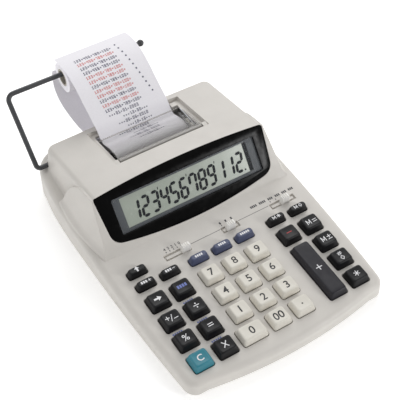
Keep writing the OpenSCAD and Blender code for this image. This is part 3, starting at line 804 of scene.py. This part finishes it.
def make_top_case():
    top = case_solid("top_case_shell", 0, 9)
    add(top, hood_solid("hood", 0))
    for side in (-1, 1):
        add(top, wing_solid("wing", side))
    cut(top, case_solid("inner", WALL, 4))
    cut(top, hood_solid("hood_inner", WALL))
    # printer recess: a tray hung under the hood's top, and the window through its floor
    v0, v1 = hood_v(RECESS_Y[0]), hood_v(RECESS_Y[1])
    lip = 1.6
    tray = (-RECESS_HALF_W - lip, RECESS_HALF_W + lip, v0 - lip, v1 + lip, 1.5)
    add(top, slot_cutter(tray, [(-RECESS_DEPTH - lip, 0), (-2, 0)], on_hood))
    recess = (-RECESS_HALF_W, RECESS_HALF_W, v0, v1, 0.8)
    cut(top, slot_cutter(recess, [(-RECESS_DEPTH, 0), (-0.4, 0), (0.9, 0.9), (9, 0.9)], on_hood))
    window = (-WINDOW_HALF_W, WINDOW_HALF_W, hood_v(WINDOW_Y[0]), hood_v(WINDOW_Y[1]), 0.8)
    cut(top, slot_cutter(window, [(-12, 0), (2, 0)], on_hood))
    ears = [box("ear", (x - 1.8, x + 1.8), (48.4, 53.4), (45.6, 49.5), [CASE]) for x in (-35, 35)]
    add(top, join("ears", ears))
    add(top, cross_bar("boss", -66.5, -61, PIVOT, 3.7, [CASE]))
    cut(top, cross_bar("pin_hole", -35.5, 35.5, COVER_PIN, 1.06, steps=16))
    cut(top, cross_bar("arm_hole", -80, -60, PIVOT, 1.9))
    cut(top, cross_bar("collar_hole", -61, -57, PIVOT, 3.3))
    cut(top, loft("lens_cut", [[on_bezel(x, u, n) for x, u in lens_outline(0.2)] for n in (-1.6, 5)]))
    cut(top, box("lcd_cut", (-55.3, 57.3), (10, 36.5), (-8, 5), where=on_bezel))
    cut(top, box("tape_cut", (TAPE_X - 30.3, TAPE_X + 30.3), (86, 104), (26, 31.6)))
    cut(top, deck_cutters())
    cut(top, parting_solid("below", False))
    return top


def upright_rod(at, radius, z0, z1):
    return tube("round_cutter", [place(*at, z0), place(*at, z1)], radius * MM, [], 32, False)


def make_bottom_case():
    lower = case_solid("bottom_case_shell", 0, 9)
    cut(lower, case_solid("inner", WALL, 4))
    for at in SCREW_AT:
        add(lower, upright_rod(at, SCREW_POST_R, FOOT_H + 1, 7.5))
        cut(lower, upright_rod(at, SCREW_HOLE_R, 0, 9))
        cut(lower, upright_rod(at, SCREW_WELL_R, 0, 4.1))
    for at in FEET_AT:
        cut(lower, upright_rod(at, FOOT_WELL_R, 0, FOOT_H + 0.8))
    jack = [place(JACK_X, y, JACK_Z) for y in (103, 115)]
    cut(lower, tube("jack_hole", jack, JACK_R * MM, [], 32, False))
    cut(lower, parting_solid("above", True))
    return lower


for shell, node in ((make_top_case(), "top_case"), (make_bottom_case(), "bottom_case")):
    shade(shell, 32)
    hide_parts(node)
    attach(shell, "case")


# ---- prints and glyphs


def text_outline(text, size, weight=0.012):
    """Faces of a line of built-in type, centred on the origin: (points, faces)."""
    curve = bpy.data.curves.new("glyph", "FONT")
    curve.body = text
    curve.size = size
    curve.resolution_u = 6
    curve.extrude = 0.5
    curve.offset = weight * size
    curve.align_x = "CENTER"
    obj = add_object("glyph", curve)
    mesh = evaluated_mesh(obj)
    points = [v.co.copy() for v in mesh.vertices]
    faces = [tuple(f.vertices) for f in mesh.polygons]
    bpy.data.objects.remove(obj)
    bpy.data.meshes.remove(mesh)
    x = (min(v.x for v in points) + max(v.x for v in points)) / 2
    y = (min(v.y for v in points) + max(v.y for v in points)) / 2
    return [Vector((v.x - x, v.y - y, v.z)) for v in points], faces


def polygon_prism(outline_points):
    """A flat closed shape as (points, faces), its thickness from -0.5 to 0.5."""
    n = len(outline_points)
    points = [Vector((x, y, z)) for z in (-0.5, 0.5) for x, y in outline_points]
    faces = [tuple(range(n))[::-1], tuple(range(n, 2 * n))]
    faces += [(j, (j + 1) % n, n + (j + 1) % n, n + j) for j in range(n)]
    return points, faces


def bar_shape(cx, cy, w, h, lean=0.0):
    """An upright bar, sheared by lean."""
    corners = [(-w / 2, -h / 2), (w / 2, -h / 2), (w / 2, h / 2), (-w / 2, h / 2)]
    return polygon_prism([(cx + x + lean * y, cy + y) for x, y in corners])


def line_shape(a, b, w):
    """A straight stroke from a to b."""
    a, b = Vector(a), Vector(b)
    t = (b - a).normalized() * w / 2
    m = Vector((-t.y, t.x))
    return polygon_prism([tuple(a - t - m), tuple(b + t - m), tuple(b + t + m), tuple(a - t + m)])


def disc_shape(cx, cy, r):
    return polygon_prism(arc(cx, cy, r, 0, 360, 16)[:-1])


def moved(shape, dx, dy):
    points, faces = shape
    return [p + Vector((dx, dy, 0)) for p in points], faces


def strokes(width, *ends):
    """Straight strokes of one width, each given as (x0, y0, x1, y1)."""
    return [line_shape(e[:2], e[2:], width) for e in ends]


def cross(cx, cy, arm, width):
    return strokes(width, (cx - arm, cy, cx + arm, cy), (cx, cy - arm, cx, cy + arm))


def diamond_shape(cx, cy, r, w=0.45):
    corners = [(cx, cy - r), (cx + r * 0.8, cy), (cx, cy + r), (cx - r * 0.8, cy)]
    return [line_shape(corners[i - 1], corners[i], w) for i in range(4)]


def word_blocks(count, w=1.15, h=1.9, gap=0.45, at=(0, 0)):
    """A row of plain blocks, which stands where a word is printed."""
    return [bar_shape(at[0] + (i - (count - 1) / 2) * (w + gap), at[1], w, h) for i in range(count)]


def asterisk(cx, cy, r, w=0.5):
    spokes = [(r * math.cos(a), r * math.sin(a)) for a in angles(30, 120, 2)]
    return strokes(w, *((cx - x, cy - y, cx + x, cy + y) for x, y in spokes))


def letter_m(cx, w, h, stroke):
    """A capital M of four strokes, centred on (cx, 0)."""
    x, top, low = (w - stroke) / 2, (h - stroke) / 2, -h / 4
    posts = [(cx - x, -top, cx - x, top), (cx + x, -top, cx + x, top)]
    return strokes(stroke, *posts, (cx - x, top, cx, low), (cx + x, top, cx, low))


BIG_M = letter_m(-1.9, 3.2, 3.9, 0.5)
SMALL_M = letter_m(-1.7, 2.5, 2.7, 0.42)
SHORT_WORD = word_blocks(3, at=(-1.2, 0))
ARROW = [(-2.7, -0.65), (0.1, -0.65), (0.1, -1.9), (2.7, 0), (0.1, 1.9), (0.1, 0.65), (-2.7, 0.65)]
# each legend's shapes, in millimetres about the key's middle
LEGENDS = {
    "dot": [disc_shape(0, -0.4, 0.55)],
    "plus": cross(0, 0, 2.0, 0.6),
    "minus": strokes(0.6, (-1.7, 0, 1.7, 0)),
    "equals": strokes(0.55, (-1.6, -0.75, 1.6, -0.75), (-1.6, 0.75, 1.6, 0.75)),
    "times": strokes(0.6, (-1.5, -1.9, 1.5, 1.9), (-1.5, 1.9, 1.5, -1.9)),
    "divide": strokes(0.55, (-1.7, 0, 1.7, 0)) + [disc_shape(0, y, 0.5) for y in (-1.5, 1.5)],
    "%": [text_outline("%", 6.4, 0.006)],
    "sign": (cross(-2.7, 0.7, 1.3, 0.5) + strokes(0.45, (-0.9, -2.2, 0.9, 2.2))
             + strokes(0.5, (1.3, -1.2, 3.9, -1.2))),
    "star": asterisk(0, 0, 1.9),
    "diamond": diamond_shape(0, -1.7, 1.6) + strokes(
        0.35, (-0.95, 0.7, -0.25, 3.1), (0.25, 0.7, 0.95, 3.1), (-1.5, 1.4, 1.5, 1.4), (-1.5, 2.4, 1.5, 2.4)),
    "m_sign": BIG_M + strokes(0.5, (1.4, 0.6, 4.0, 0.6), (2.7, -0.6, 2.7, 1.8), (1.4, -1.6, 4.0, -1.6)),
    "m_equals": BIG_M + strokes(0.5, (1.4, -1.1, 4.0, -1.1), (1.4, 0.5, 4.0, 0.5)),
    "m_star": SMALL_M + asterisk(1.9, 0, 1.2, 0.45),
    "m_diamond": SMALL_M + diamond_shape(1.9, 0, 1.3, 0.4),
    "clear": [text_outline("C", 6.2)],
    "right": [polygon_prism(ARROW)],
    "up": [polygon_prism([(-y * 0.9, x * 0.75) for x, y in ARROW])],
    "clock": word_blocks(4, 1.35, 2.4, at=(0, 0.4)),
    "bar_plus": SHORT_WORD + cross(2.8, 0, 0.9, 0.4),
    "bar_minus": SHORT_WORD + strokes(0.4, (1.9, 0, 3.7, 0)),
    "bars_4": word_blocks(4, 1.05, 1.7, 0.4),
    "bars_5": word_blocks(5, 1.05, 1.7, 0.4),
}
LEGEND_INKS = {"dot": PRINT_BLACK, "minus": PRINT_RED, "clock": PRINT_BLUE}


def legend_shapes(kind):
    if kind.isdigit():
        return [text_outline(kind, 7.6, 0.01)], PRINT_BLACK
    return LEGENDS[kind], LEGEND_INKS.get(kind, PRINT_WHITE)


def print_shapes(name, shapes, where, slots, lift=0.03, thickness=0.05):
    """Thin printed shapes laid on a surface; where(x, y, height) gives the place."""
    verts, faces = [], []
    for points, shape_faces in shapes:
        base = len(verts)
        verts += [where(p.x, p.y, lift + (p.z + 0.5) * thickness) for p in points]
        faces += [tuple(base + i for i in f) for f in shape_faces]
    return build(name, verts, faces, slots, 30)


# ---- keys


def key_top(key):
    """Middle and half sizes of a key's dished top."""
    x0, x1, s0, s1 = key_box(key)
    front, back = s0 + front_in(key), s1 - BACK_IN
    return (x0 + x1) / 2, (front + back) / 2, (x1 - x0) / 2 - SIDE_IN, (back - front) / 2


def is_small(key):
    return key[2] >= SMALL_FROM_ROW


def front_in(key):
    return FRONT_IN * (0.7 if is_small(key) else 1)


def key_surface(key, x, s):
    """Height of a key's top, which is dished in both directions."""
    cx, cs, half_x, half_s = key_top(key)
    a = min(abs(x - cx) / half_x, 1)
    b = min(abs(s - cs) / half_s, 1)
    return KEY_H - (SMALL_KEY_DISH if is_small(key) else KEY_DISH) * (1 - a * a) * (1 - b * b)


def key_loops(key):
    """Loops from the skirt under the deck, up the drafted sides and the rounded edge, to the dished top."""
    x0, x1, s0, s1 = key_box(key)
    front = front_in(key)
    edge = SMALL_KEY_EDGE_R if is_small(key) else KEY_EDGE_R
    levels = [(0.1, -3.5, 0), (0.1, -0.35, 0), (0, -0.1, 0), (0, 0.25, 0)]
    levels += [(mix(0.02, 0.72, i / 4), mix(0.6, KEY_H - edge, i / 4), 0) for i in range(5)]
    for a in angles(0, 90, 5)[1:]:
        levels.append((0.72 + 0.1 * math.sin(a), KEY_H - edge * (1 - math.sin(a)), edge * (1 - math.cos(a))))
    loops = []
    for f, n, e in levels:
        left, right = x0 + SIDE_IN * f + e, x1 - SIDE_IN * f - e
        near, far = s0 + front * f + e, s1 - BACK_IN * f - e
        ring = rounded_rect(left, right, near, far, mix(1.3, 1.9, f) - e * 0.5, 5)
        loops.append([(x, s, n) for x, s in ring])
    cx, cs = key_top(key)[:2]
    for i in range(1, 7):
        inner = [(mix(x, cx, i / 7), mix(s, cs, i / 7)) for x, s in ring]
        loops.append([(x, s, key_surface(key, x, s)) for x, s in inner])
    return loops


def make_key(key):
    name, slot, legend = "key_" + key[0], key[3], key[4]
    loops = [[on_deck(*p) for p in loop] for loop in key_loops(key)]
    cap = loft(name + "_cap", loops, [KEY_MATERIALS[slot]], 40)
    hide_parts(name)
    cx, cs = key_top(key)[:2]
    shapes, ink = legend_shapes(legend)

    def on_top(x, y, h):
        return on_deck(cx + x, cs + y, key_surface(key, cx + x, cs + y) + h)

    mark = print_shapes(name + "_legend", shapes, on_top, [ink])
    for obj in (cap, mark):
        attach(obj, name + "_body")


for key in KEYS:
    make_key(key)


# ---- switches and deck printing


def make_switch(name, knob_x):
    """A ribbed knob with a stem through the slot."""
    knob = around(knob_x, SWITCH_S, 3.2, 2.1, 0.6)
    parts = [slot_cutter(knob, [(-1.1, 0), (0.3, 0), (4.6, -0.3), (5.0, -0.55)])]
    for x in (knob_x - RIB_PITCH, knob_x, knob_x + RIB_PITCH):
        rib = around(x, SWITCH_S, 0.42, 1.6, 0.3)
        parts.append(slot_cutter(rib, [(4.6, 0), (5.5, -0.05), (5.8, -0.22)]))
    for part, half_x, half_s, heights in (("stem", 1.5, 0.7, (-3.0, -0.7)), ("foot", 3.5, 2.5, (-3.6, -2.6))):
        left, right, front, back, _ = around(knob_x, SWITCH_S, half_x, half_s, 0)
        parts.append(box(part, (left, right), (front, back), heights, where=on_deck))
    obj = join(name + "_knob", parts, 40)
    obj.data.materials.append(SWITCH)
    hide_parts(name)
    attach(obj, name + "_body")


for name, _, _, knob_x in SWITCHES:
    make_switch(name, knob_x)


def make_deck_print():
    """Index marks beside the slots, the thin line that joins them, and marks behind four keys."""
    dark = []
    for x in (-35, -32.2, -29.4, -26.6, -23.8, 8.5, 13, 17.5, 48.5, 53, 57.5, 62):
        dark.append(bar_shape(x, MARK_S, 0.42, 1.2))
    for i, digit in enumerate("43210"):
        dark.append(moved(text_outline(digit, 3.1), -35 + 2.8 * i, WORD_S))
    for x in (8.5, 13, 17.5):
        dark.append(bar_shape(x, -9.1, 1.2, 1.9))
    for x, count in ((36.2, 4), (43.4, 4), (50, 3), (56, 3), (61.6, 3), (67.2, 3)):
        dark += word_blocks(count, 0.95, 1.9, 0.4, (x, WORD_S))
    for x0, x1 in ((-18.3, 5.6), (20.4, 45.2)):
        dark.append(bar_shape((x0 + x1) / 2, LINE_S, x1 - x0, 0.28))
    marks = print_shapes("deck_marks", dark, on_deck, [PRINT_GREY])
    blue = []
    for col, row in ((0, 1), (1, 2), (1, 1), (1, 0)):
        blue += word_blocks(5, 1.0, 1.2, 0.5, (COL_X[col] - 1.2, ROW_0 + ROW_S[row] + KEY_D + 1.7))
    hints = print_shapes("deck_hints", blue, on_deck, [PRINT_BLUE])
    for obj in (marks, hints):
        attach(obj, "case")


make_deck_print()


# ---- display


def make_lens():
    """Glossy black window frame with a clear pane over the display."""
    levels = [(0.0, -1.6), (0.0, -0.25), (-0.08, -0.08), (-0.3, 0.0)]
    loops = [[on_bezel(x, u, n) for x, u in lens_outline(g)] for g, n in levels]
    ring = loft("lens_frame", loops, [LENS], 30)
    hole = (-54.7, 56.7, 10.9, 35.6, 1.0)
    cut(ring, slot_cutter(hole, [(-5, 0), (-0.25, 0), (0.05, 0.3), (4, 0.3)], on_bezel))
    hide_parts("display_lens")
    pane = slot_cutter((-54.6, 56.6, 11.0, 35.5, 0.9), [(-1.5, 0), (-0.5, 0)], on_bezel)
    pane.name = "lens_pane"
    pane.data.materials.append(LENS_CLEAR)
    for obj in (ring, pane):
        shade(obj, 30)
        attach(obj, "case")


# which of the seven segments each digit lights: top, right top, right low, bottom, left low, left top, middle
SEGMENTS = {
    "1": "0110000", "2": "1101101", "3": "1111001", "4": "0110011", "5": "1011011",
    "6": "1011111", "7": "1110010", "8": "1111111", "9": "1111011", "0": "1111110",
}


def segment_shapes(x, u, w, h, lit):
    """The lit bars of one digit, mitred at their ends."""
    gap, half, lean, mid = 0.14, 1.0, 0.15, h / 2

    def bar(a, b):
        a, b = Vector(a), Vector(b)
        t = (b - a).normalized()
        m = Vector((-t.y, t.x)) * half
        a, b = a + t * gap, b - t * gap
        ring = [a, a + t * half - m, b - t * half - m, b, b - t * half + m, a + t * half + m]
        return polygon_prism([(x + p.x + lean * p.y, u + p.y) for p in ring])

    ends = [((0, h), (w, h)), ((w, h), (w, mid)), ((w, mid), (w, 0)), ((0, 0), (w, 0))]
    ends += [((0, mid), (0, 0)), ((0, h), (0, mid)), ((0, mid), (w, mid))]
    return [bar(*e) for e, on in zip(ends, lit) if on == "1"]


def make_lcd():
    """The number on the display, with digit-group ticks, a point and the bar at the right."""
    surface = -2.3
    pitch, w, h = 7.45, 4.7, 12.6
    x, u = -43.3, 15.9
    lit = []
    for i, digit in enumerate("123456789112"):
        left = x + i * pitch
        lit += segment_shapes(left, u, w, h, SEGMENTS[digit])
        if i in (2, 5, 8):
            lit.append(bar_shape(left + w + 3.0, u + h + 1.2, 0.6, 1.7, 0.25))
    lit.append(disc_shape(x + 11 * pitch + w + 1.5, u - 0.2, 0.65))
    # a dark bar in the display ink along the glass's right edge: partly its dark edge, partly painted shade
    # along it
    lit.append(bar_shape(49.2, 23.5, 2.8, 20.6))
    obj = print_shapes("lcd_digits", lit, lambda a, b, c: on_bezel(a, b, surface + c), [LCD_INK], 0.02)
    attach(obj, "case")


make_lens()
make_lcd()


# CAD nodes that are kept as they are get their finished materials
for node, material in (
    ("lcd_bezel", LCD_FRAME), ("lcd_panel", LCD_GLASS), ("main_board", BOARD), ("key_mat", MAT_RUBBER),
    ("printer_frame", DARK_INSIDE), ("platen_roller", PLATEN), ("platen_gear", GEAR_WHITE),
    ("motor_gear", BRASS), ("printer_motor", STEEL), ("print_carriage", MECHANISM), ("ink_roller", INK),
    ("carriage_rail", STEEL), ("dc_jack", MECHANISM), ("rubber_feet", RUBBER), ("case_screws", STEEL),
):
    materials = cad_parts[node].data.materials
    materials.clear()
    materials.append(material)


# ---- printer cover


def make_cover():
    """Smoked cover: a thin curved plate with a lip at its front, pins and a toothed tearing edge."""
    top = [(50.4, 47.6), (50.8, 48.9), (52.4, 49.4), (58, 49), (66, 47.7), (73, 46), (79, 43.9), (82.4, 42.4)]
    skin = along(top, 0.9)
    low = []
    for i, p in enumerate(skin):
        t = tangent(skin, i)
        low.append(p + Vector((t.y, -t.x)) * (1.1 + 1.6 * max(0.0, 1 - i / 4)))
    ring = [tuple(p) for p in skin] + [tuple(p) for p in low[::-1]]
    half = COVER_HALF_W
    xs = [-half, -half + 0.3] + [i * 8 for i in range(-3, 4)] + [half - 0.3, half]
    parts = [loft("plate", [[place(x, y, z) for y, z in ring] for x in xs], [SMOKE_PAINTED_SHADE], 30)]
    front = ring[:5] + [(54.4, 48.9), (54.4, 47.6), (52.6, 46.7), (50.8, 46.7)]
    lip = [[place(x, y, z + 0.02) for y, z in front] for x in (-half - 0.02, half + 0.02)]
    # the lip's pale half-opaque finish is partly painted highlight
    parts.append(loft("lip", lip, [LIP_PAINTED_HIGHLIGHT], 30))
    for i in range(TEETH):
        x = mix(-half + 0.8, half - 0.8, i / (TEETH - 1))
        sections = [
            [place(x + dx, y, z + dz) for dx, dz in ((-w, -0.25), (w, -0.25), (w, 0.35), (-w, 0.35))]
            for y, z, w in ((82.1, 41.6, 0.72), (83.1, 41.4, 0.06))]
        parts.append(loft("tooth", sections, [LIP_PAINTED_HIGHLIGHT]))
    parts += [cross_bar("pin", side * 31.5, side * 35.2, COVER_PIN, 1.0, [SMOKE_PAINTED_SHADE], 14) for side in (-1, 1)]
    cover = join("printer_cover_shell", parts, 30)
    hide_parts("printer_cover")
    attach(cover, "cover")


def make_drive_details():
    """Works of the printer that show through the right end of the cover."""
    parts = [
        box("bracket", (29.5, 32.8), (54, 78), (38.8, 41.5), [MECHANISM]),
        box("cam_plate", (28.7, 29.3), (58, 76), (33, 42.6), [MECHANISM]),
        box("contact_strip", (32.0, 32.5), (57, 80), (41.6, 43.2), [STEEL]),
        box("rear_guide", (28.3, 32.8), (84.4, 88.3), (37, 42.5), [CASE]),
        box("head_guide", (-31.5, 27.5), (55.0, 56.2), (43.6, 45.8), [MECHANISM]),
    ]
    for y, z, r in ((61.0, 41.4, 2.9), (67.2, 40.8, 2.4)):
        ring = [(r * (1.0 if i % 2 else 0.86), 2 * math.pi * i / 32) for i in range(32)]
        loops = [[place(x, y + q * math.cos(a), z + q * math.sin(a)) for q, a in ring] for x in (29.9, 31.3)]
        parts.append(loft("idler_gear", loops, [GEAR_WHITE], 30))
    for y in (61.0, 67.2, 73.5):
        parts.append(tube("pin", [place(x, y, 41.2) for x in (29.0, 31.8)], 0.7 * MM, [STEEL], 12))
    works = join("drive_works", parts, 30)
    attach(works, "case")


make_cover()
make_drive_details()


# ---- wire arm and roll


def arm_path():
    """Centre line of the wire, from its end inside the case to the tip of the rod."""
    start = Vector((0, *PIVOT))
    leg = Vector((0, *ROD_AT)) - start
    up, length = leg.normalized(), leg.length

    def at(x, along_leg):
        p = start + up * along_leg
        return place(x, p.y, p.z)

    leg_x, hole_r, rod_r = -75.4, 2.9, 5.0
    path = [at(-58, 0), at(-64, 0)]
    path += [at(leg_x + hole_r * (1 - math.sin(a)), hole_r * (1 - math.cos(a))) for a in angles(0, 90, 8)]
    path += [at(leg_x, mix(hole_r, length - rod_r, i / 6)) for i in range(1, 6)]
    corner = length - rod_r
    path += [at(leg_x + rod_r * (1 - math.cos(a)), corner + rod_r * math.sin(a)) for a in angles(0, 90, 10)]
    path += [at(mix(leg_x + rod_r, ROD_END_X, i / 8), length) for i in range(1, 9)]
    return path


def make_arm():
    wire = tube("wire", arm_path(), WIRE_R * MM, [ARM], 24)
    profile = [(-2.6, 0.3), (-2.2, 1.5), (-1.2, 2.35), (0.2, 2.6), (1.4, 2.2), (2.2, 1.3), (2.55, 0.4)]
    tip = loft("tip", [[place(ROD_END_X + dx, y, z) for y, z in arc(*ROD_AT, r, 0, 360, 24)[:-1]]
                       for dx, r in profile], [ARM], 60)
    collar = cross_bar("collar", -60.5, -58.5, PIVOT, 3, [ARM], 24)
    arm = join("paper_arm_wire", [wire, tip, collar], 50)
    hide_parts("paper_arm")
    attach(arm, "arm")


def ring_solid(name, r_in, r_out, slots, end_depth=0.0):
    """A tube of the roll's width whose ends are stepped into fine concentric windings."""
    steps = 72
    windings = max(2, int((r_out - r_in) / WINDING)) if end_depth else 2
    radii = [mix(r_in, r_out, i / (windings - 1)) for i in range(windings)]
    ends = [(PAPER_W / 2 - (end_depth if i % 2 else 0), r) for i, r in enumerate(radii)]
    profile = [(ROLL_X - w, r) for w, r in ends] + [(ROLL_X + w, r) for w, r in ends[::-1]]
    verts, faces = [], []
    m = len(profile)
    for k in range(steps):
        c, t = math.cos(2 * math.pi * k / steps), math.sin(2 * math.pi * k / steps)
        verts += [place(x, ROLL_AT[0] + r * c, ROLL_AT[1] + r * t) for x, r in profile]
        a, b = k * m, ((k + 1) % steps) * m
        faces += [(a + j, a + (j + 1) % m, b + (j + 1) % m, b + j) for j in range(m)]
    return build(name, verts, faces, slots, 40)


def make_roll():
    core = ring_solid("paper_core_tube", CORE_R, CORE_R + CORE_T, [CARD])
    roll = ring_solid("paper_roll_windings", CORE_R + CORE_T, ROLL_R, [PAPER], 0.12)
    for obj, node, slot in ((core, "paper_core", "core_card"), (roll, "paper_roll", "paper_white")):
        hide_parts(node)
        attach(obj, "roll")


make_arm()
make_roll()


# ---- printed tape

TAPE_T = 0.14


def tape_middle(y):
    """The strip runs a little to the left as it climbs from the tearing edge to its free end."""
    return mix(-1.3, -5.8, (y - 84) / 55)


def tape_frame():
    """Points of the tape's middle line with their outward normals and the distance run from the roll."""
    path = along(TAPE_PATH, 1.2)
    frames = []
    travelled = 0.0
    for i, p in enumerate(path):
        t = tangent(path, i)
        travelled += (p - path[i - 1]).length if i else 0.0
        frames.append((p, Vector((-t.y, t.x)), travelled))
    return frames


TAPE = tape_frame()


def on_tape(x, distance, height):
    """A place on the tape: distance runs back from its free end, height is off the printed side."""
    want = TAPE[-1][2] - distance
    for (p, m, a), (q, k, b) in zip(TAPE, TAPE[1:]):
        if b >= want:
            t = (want - a) / (b - a)
            point = p.lerp(q, t) + m.lerp(k, t) * (height + TAPE_T / 2)
            return place(tape_middle(point.x) + x, *point)


def make_tape():
    xs = [mix(-PAPER_W / 2, PAPER_W / 2, i / 10) for i in range(11)]
    loops = []
    for p, m, _ in TAPE:
        near, far = p + m * TAPE_T / 2, p - m * TAPE_T / 2
        middle = tape_middle(p.x)
        loops.append([place(middle + x, *near) for x in xs] + [place(middle + x, *far) for x in xs[::-1]])
    tape = loft("paper_tape_strip", loops, [PAPER], 50)
    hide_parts("paper_tape")
    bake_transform(tape)


# dot patterns, three dots wide and five high, top row first
DOTS = {
    "0": "111101101101111", "1": "010110010010111", "2": "111001111100111", "3": "111001111001111",
    "4": "101101111001001", "5": "111100111001111", "6": "111100111101111", "7": "111001001001001",
    "8": "111101111101111", "9": "111101111001111", "+": "000010111010000", ".": "000000110110000",
}
DOT_PITCH = 0.42
DOT_ROW = 0.46
CHAR_PITCH = 1.84
ROW_PITCH = 3.72
FIRST_ROW = 10.2


def dotted_line(text, x0, distance):
    """Dots of a printed line; returns (x, distance) centres."""
    return [
        (x0 + i * CHAR_PITCH + (k % 3) * DOT_PITCH, distance + (k // 3) * DOT_ROW)
        for i, char in enumerate(text) for k, on in enumerate(DOTS.get(char, "")) if on == "1"]


def add_dots(name, dots, ink, half):
    """Small square prints laid on the tape."""
    squares = [bar_shape(x, distance, 2 * half, 2 * half) for x, distance in dots]
    obj = print_shapes(name, squares, on_tape, [ink], 0.01, 0.025)
    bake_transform(obj)


def make_tape_print():
    """Rows of dot-matrix sums, in dark and red ink by turns, with a column of marks at the right."""
    dark, red, marks = [], [], []
    for i, ink in enumerate("DRDDRRDRRDRD"):
        distance = FIRST_ROW + i * ROW_PITCH
        row = dotted_line("123+456+789+100+", -18.8 + 0.2 * i, distance)
        (red if ink == "R" else dark).extend(row)
        marks.append((14.2 + 0.72 * i, distance - 0.6))
    texts = "...01.01.2003", "     ...12.00...", "  ...06.06.2010", "     ...10.16..."
    for i, text in enumerate(texts * 2):
        dark += dotted_line(text, -15.6 + 0.25 * i, FIRST_ROW + (12 + i) * ROW_PITCH)
    add_dots("tape_print_dark", dark, TAPE_INK, 0.2)
    add_dots("tape_print_red", red, TAPE_RED, 0.2)
    add_dots("tape_print_marks", marks, TAPE_INK, 0.55)


make_tape()
make_tape_print()


# ---- camera, floor and light

CAMERA_AT = (-238.7, -372.7, 530.4)
LOOK_AT = (10.99, 19.75, 14.0)


def aim(obj, where, target):
    obj.location = where
    obj.rotation_euler = (Vector(target) - Vector(where)).to_track_quat("-Z", "Y").to_euler()


def add_area(name, where, target, size, power):
    data = bpy.data.lights.new(name, "AREA")
    data.energy = power
    data.shape = "RECTANGLE"
    data.size, data.size_y = size
    aim(add_object(name, data), where, target)


def add_camera():
    data = bpy.data.cameras.new("camera")
    data.lens = 90
    data.sensor_width = 36
    data.clip_start = 0.01
    camera = add_object("camera", data)
    aim(camera, place(*CAMERA_AT), place(*LOOK_AT))
    bpy.context.scene.camera = camera


def add_floor():
    n = Nodes("floor_paper")
    n.vary("Base Color", n.noise(8, 3), rgb("#fdfdfc"), rgb("#ffffff"))
    n.set(Roughness=0.9, Emission_Color=(1, 1, 1, 1), Emission_Strength=0.32)
    build("floor", [(-6, -6, 0), (6, -6, 0), (6, 6, 0), (-6, 6, 0)], [(0, 1, 2, 3)], [n.mat])


def add_light():
    world = bpy.data.worlds.new("studio")
    bpy.context.scene.world = world
    world.use_nodes = True
    background = world.node_tree.nodes["Background"].inputs
    background["Color"].default_value = (1, 1, 1, 1)
    background["Strength"].default_value = 0.45
    add_area("key_light", (0.5, 0.75, 0.85), (0, 0, 0.02), (0.9, 0.9), 7.3)
    add_area("fill_light", (-1.1, 0.1, 0.7), (0, 0, 0.02), (1.0, 1.0), 3.0)
    add_area("panel_light", (0.66, -0.95, 0.445), (0.05, 0, 0.035), (0.26, 0.36), 4.2)
    bpy.context.scene.view_settings.view_transform = "Standard"


add_camera()
add_floor()
add_light()
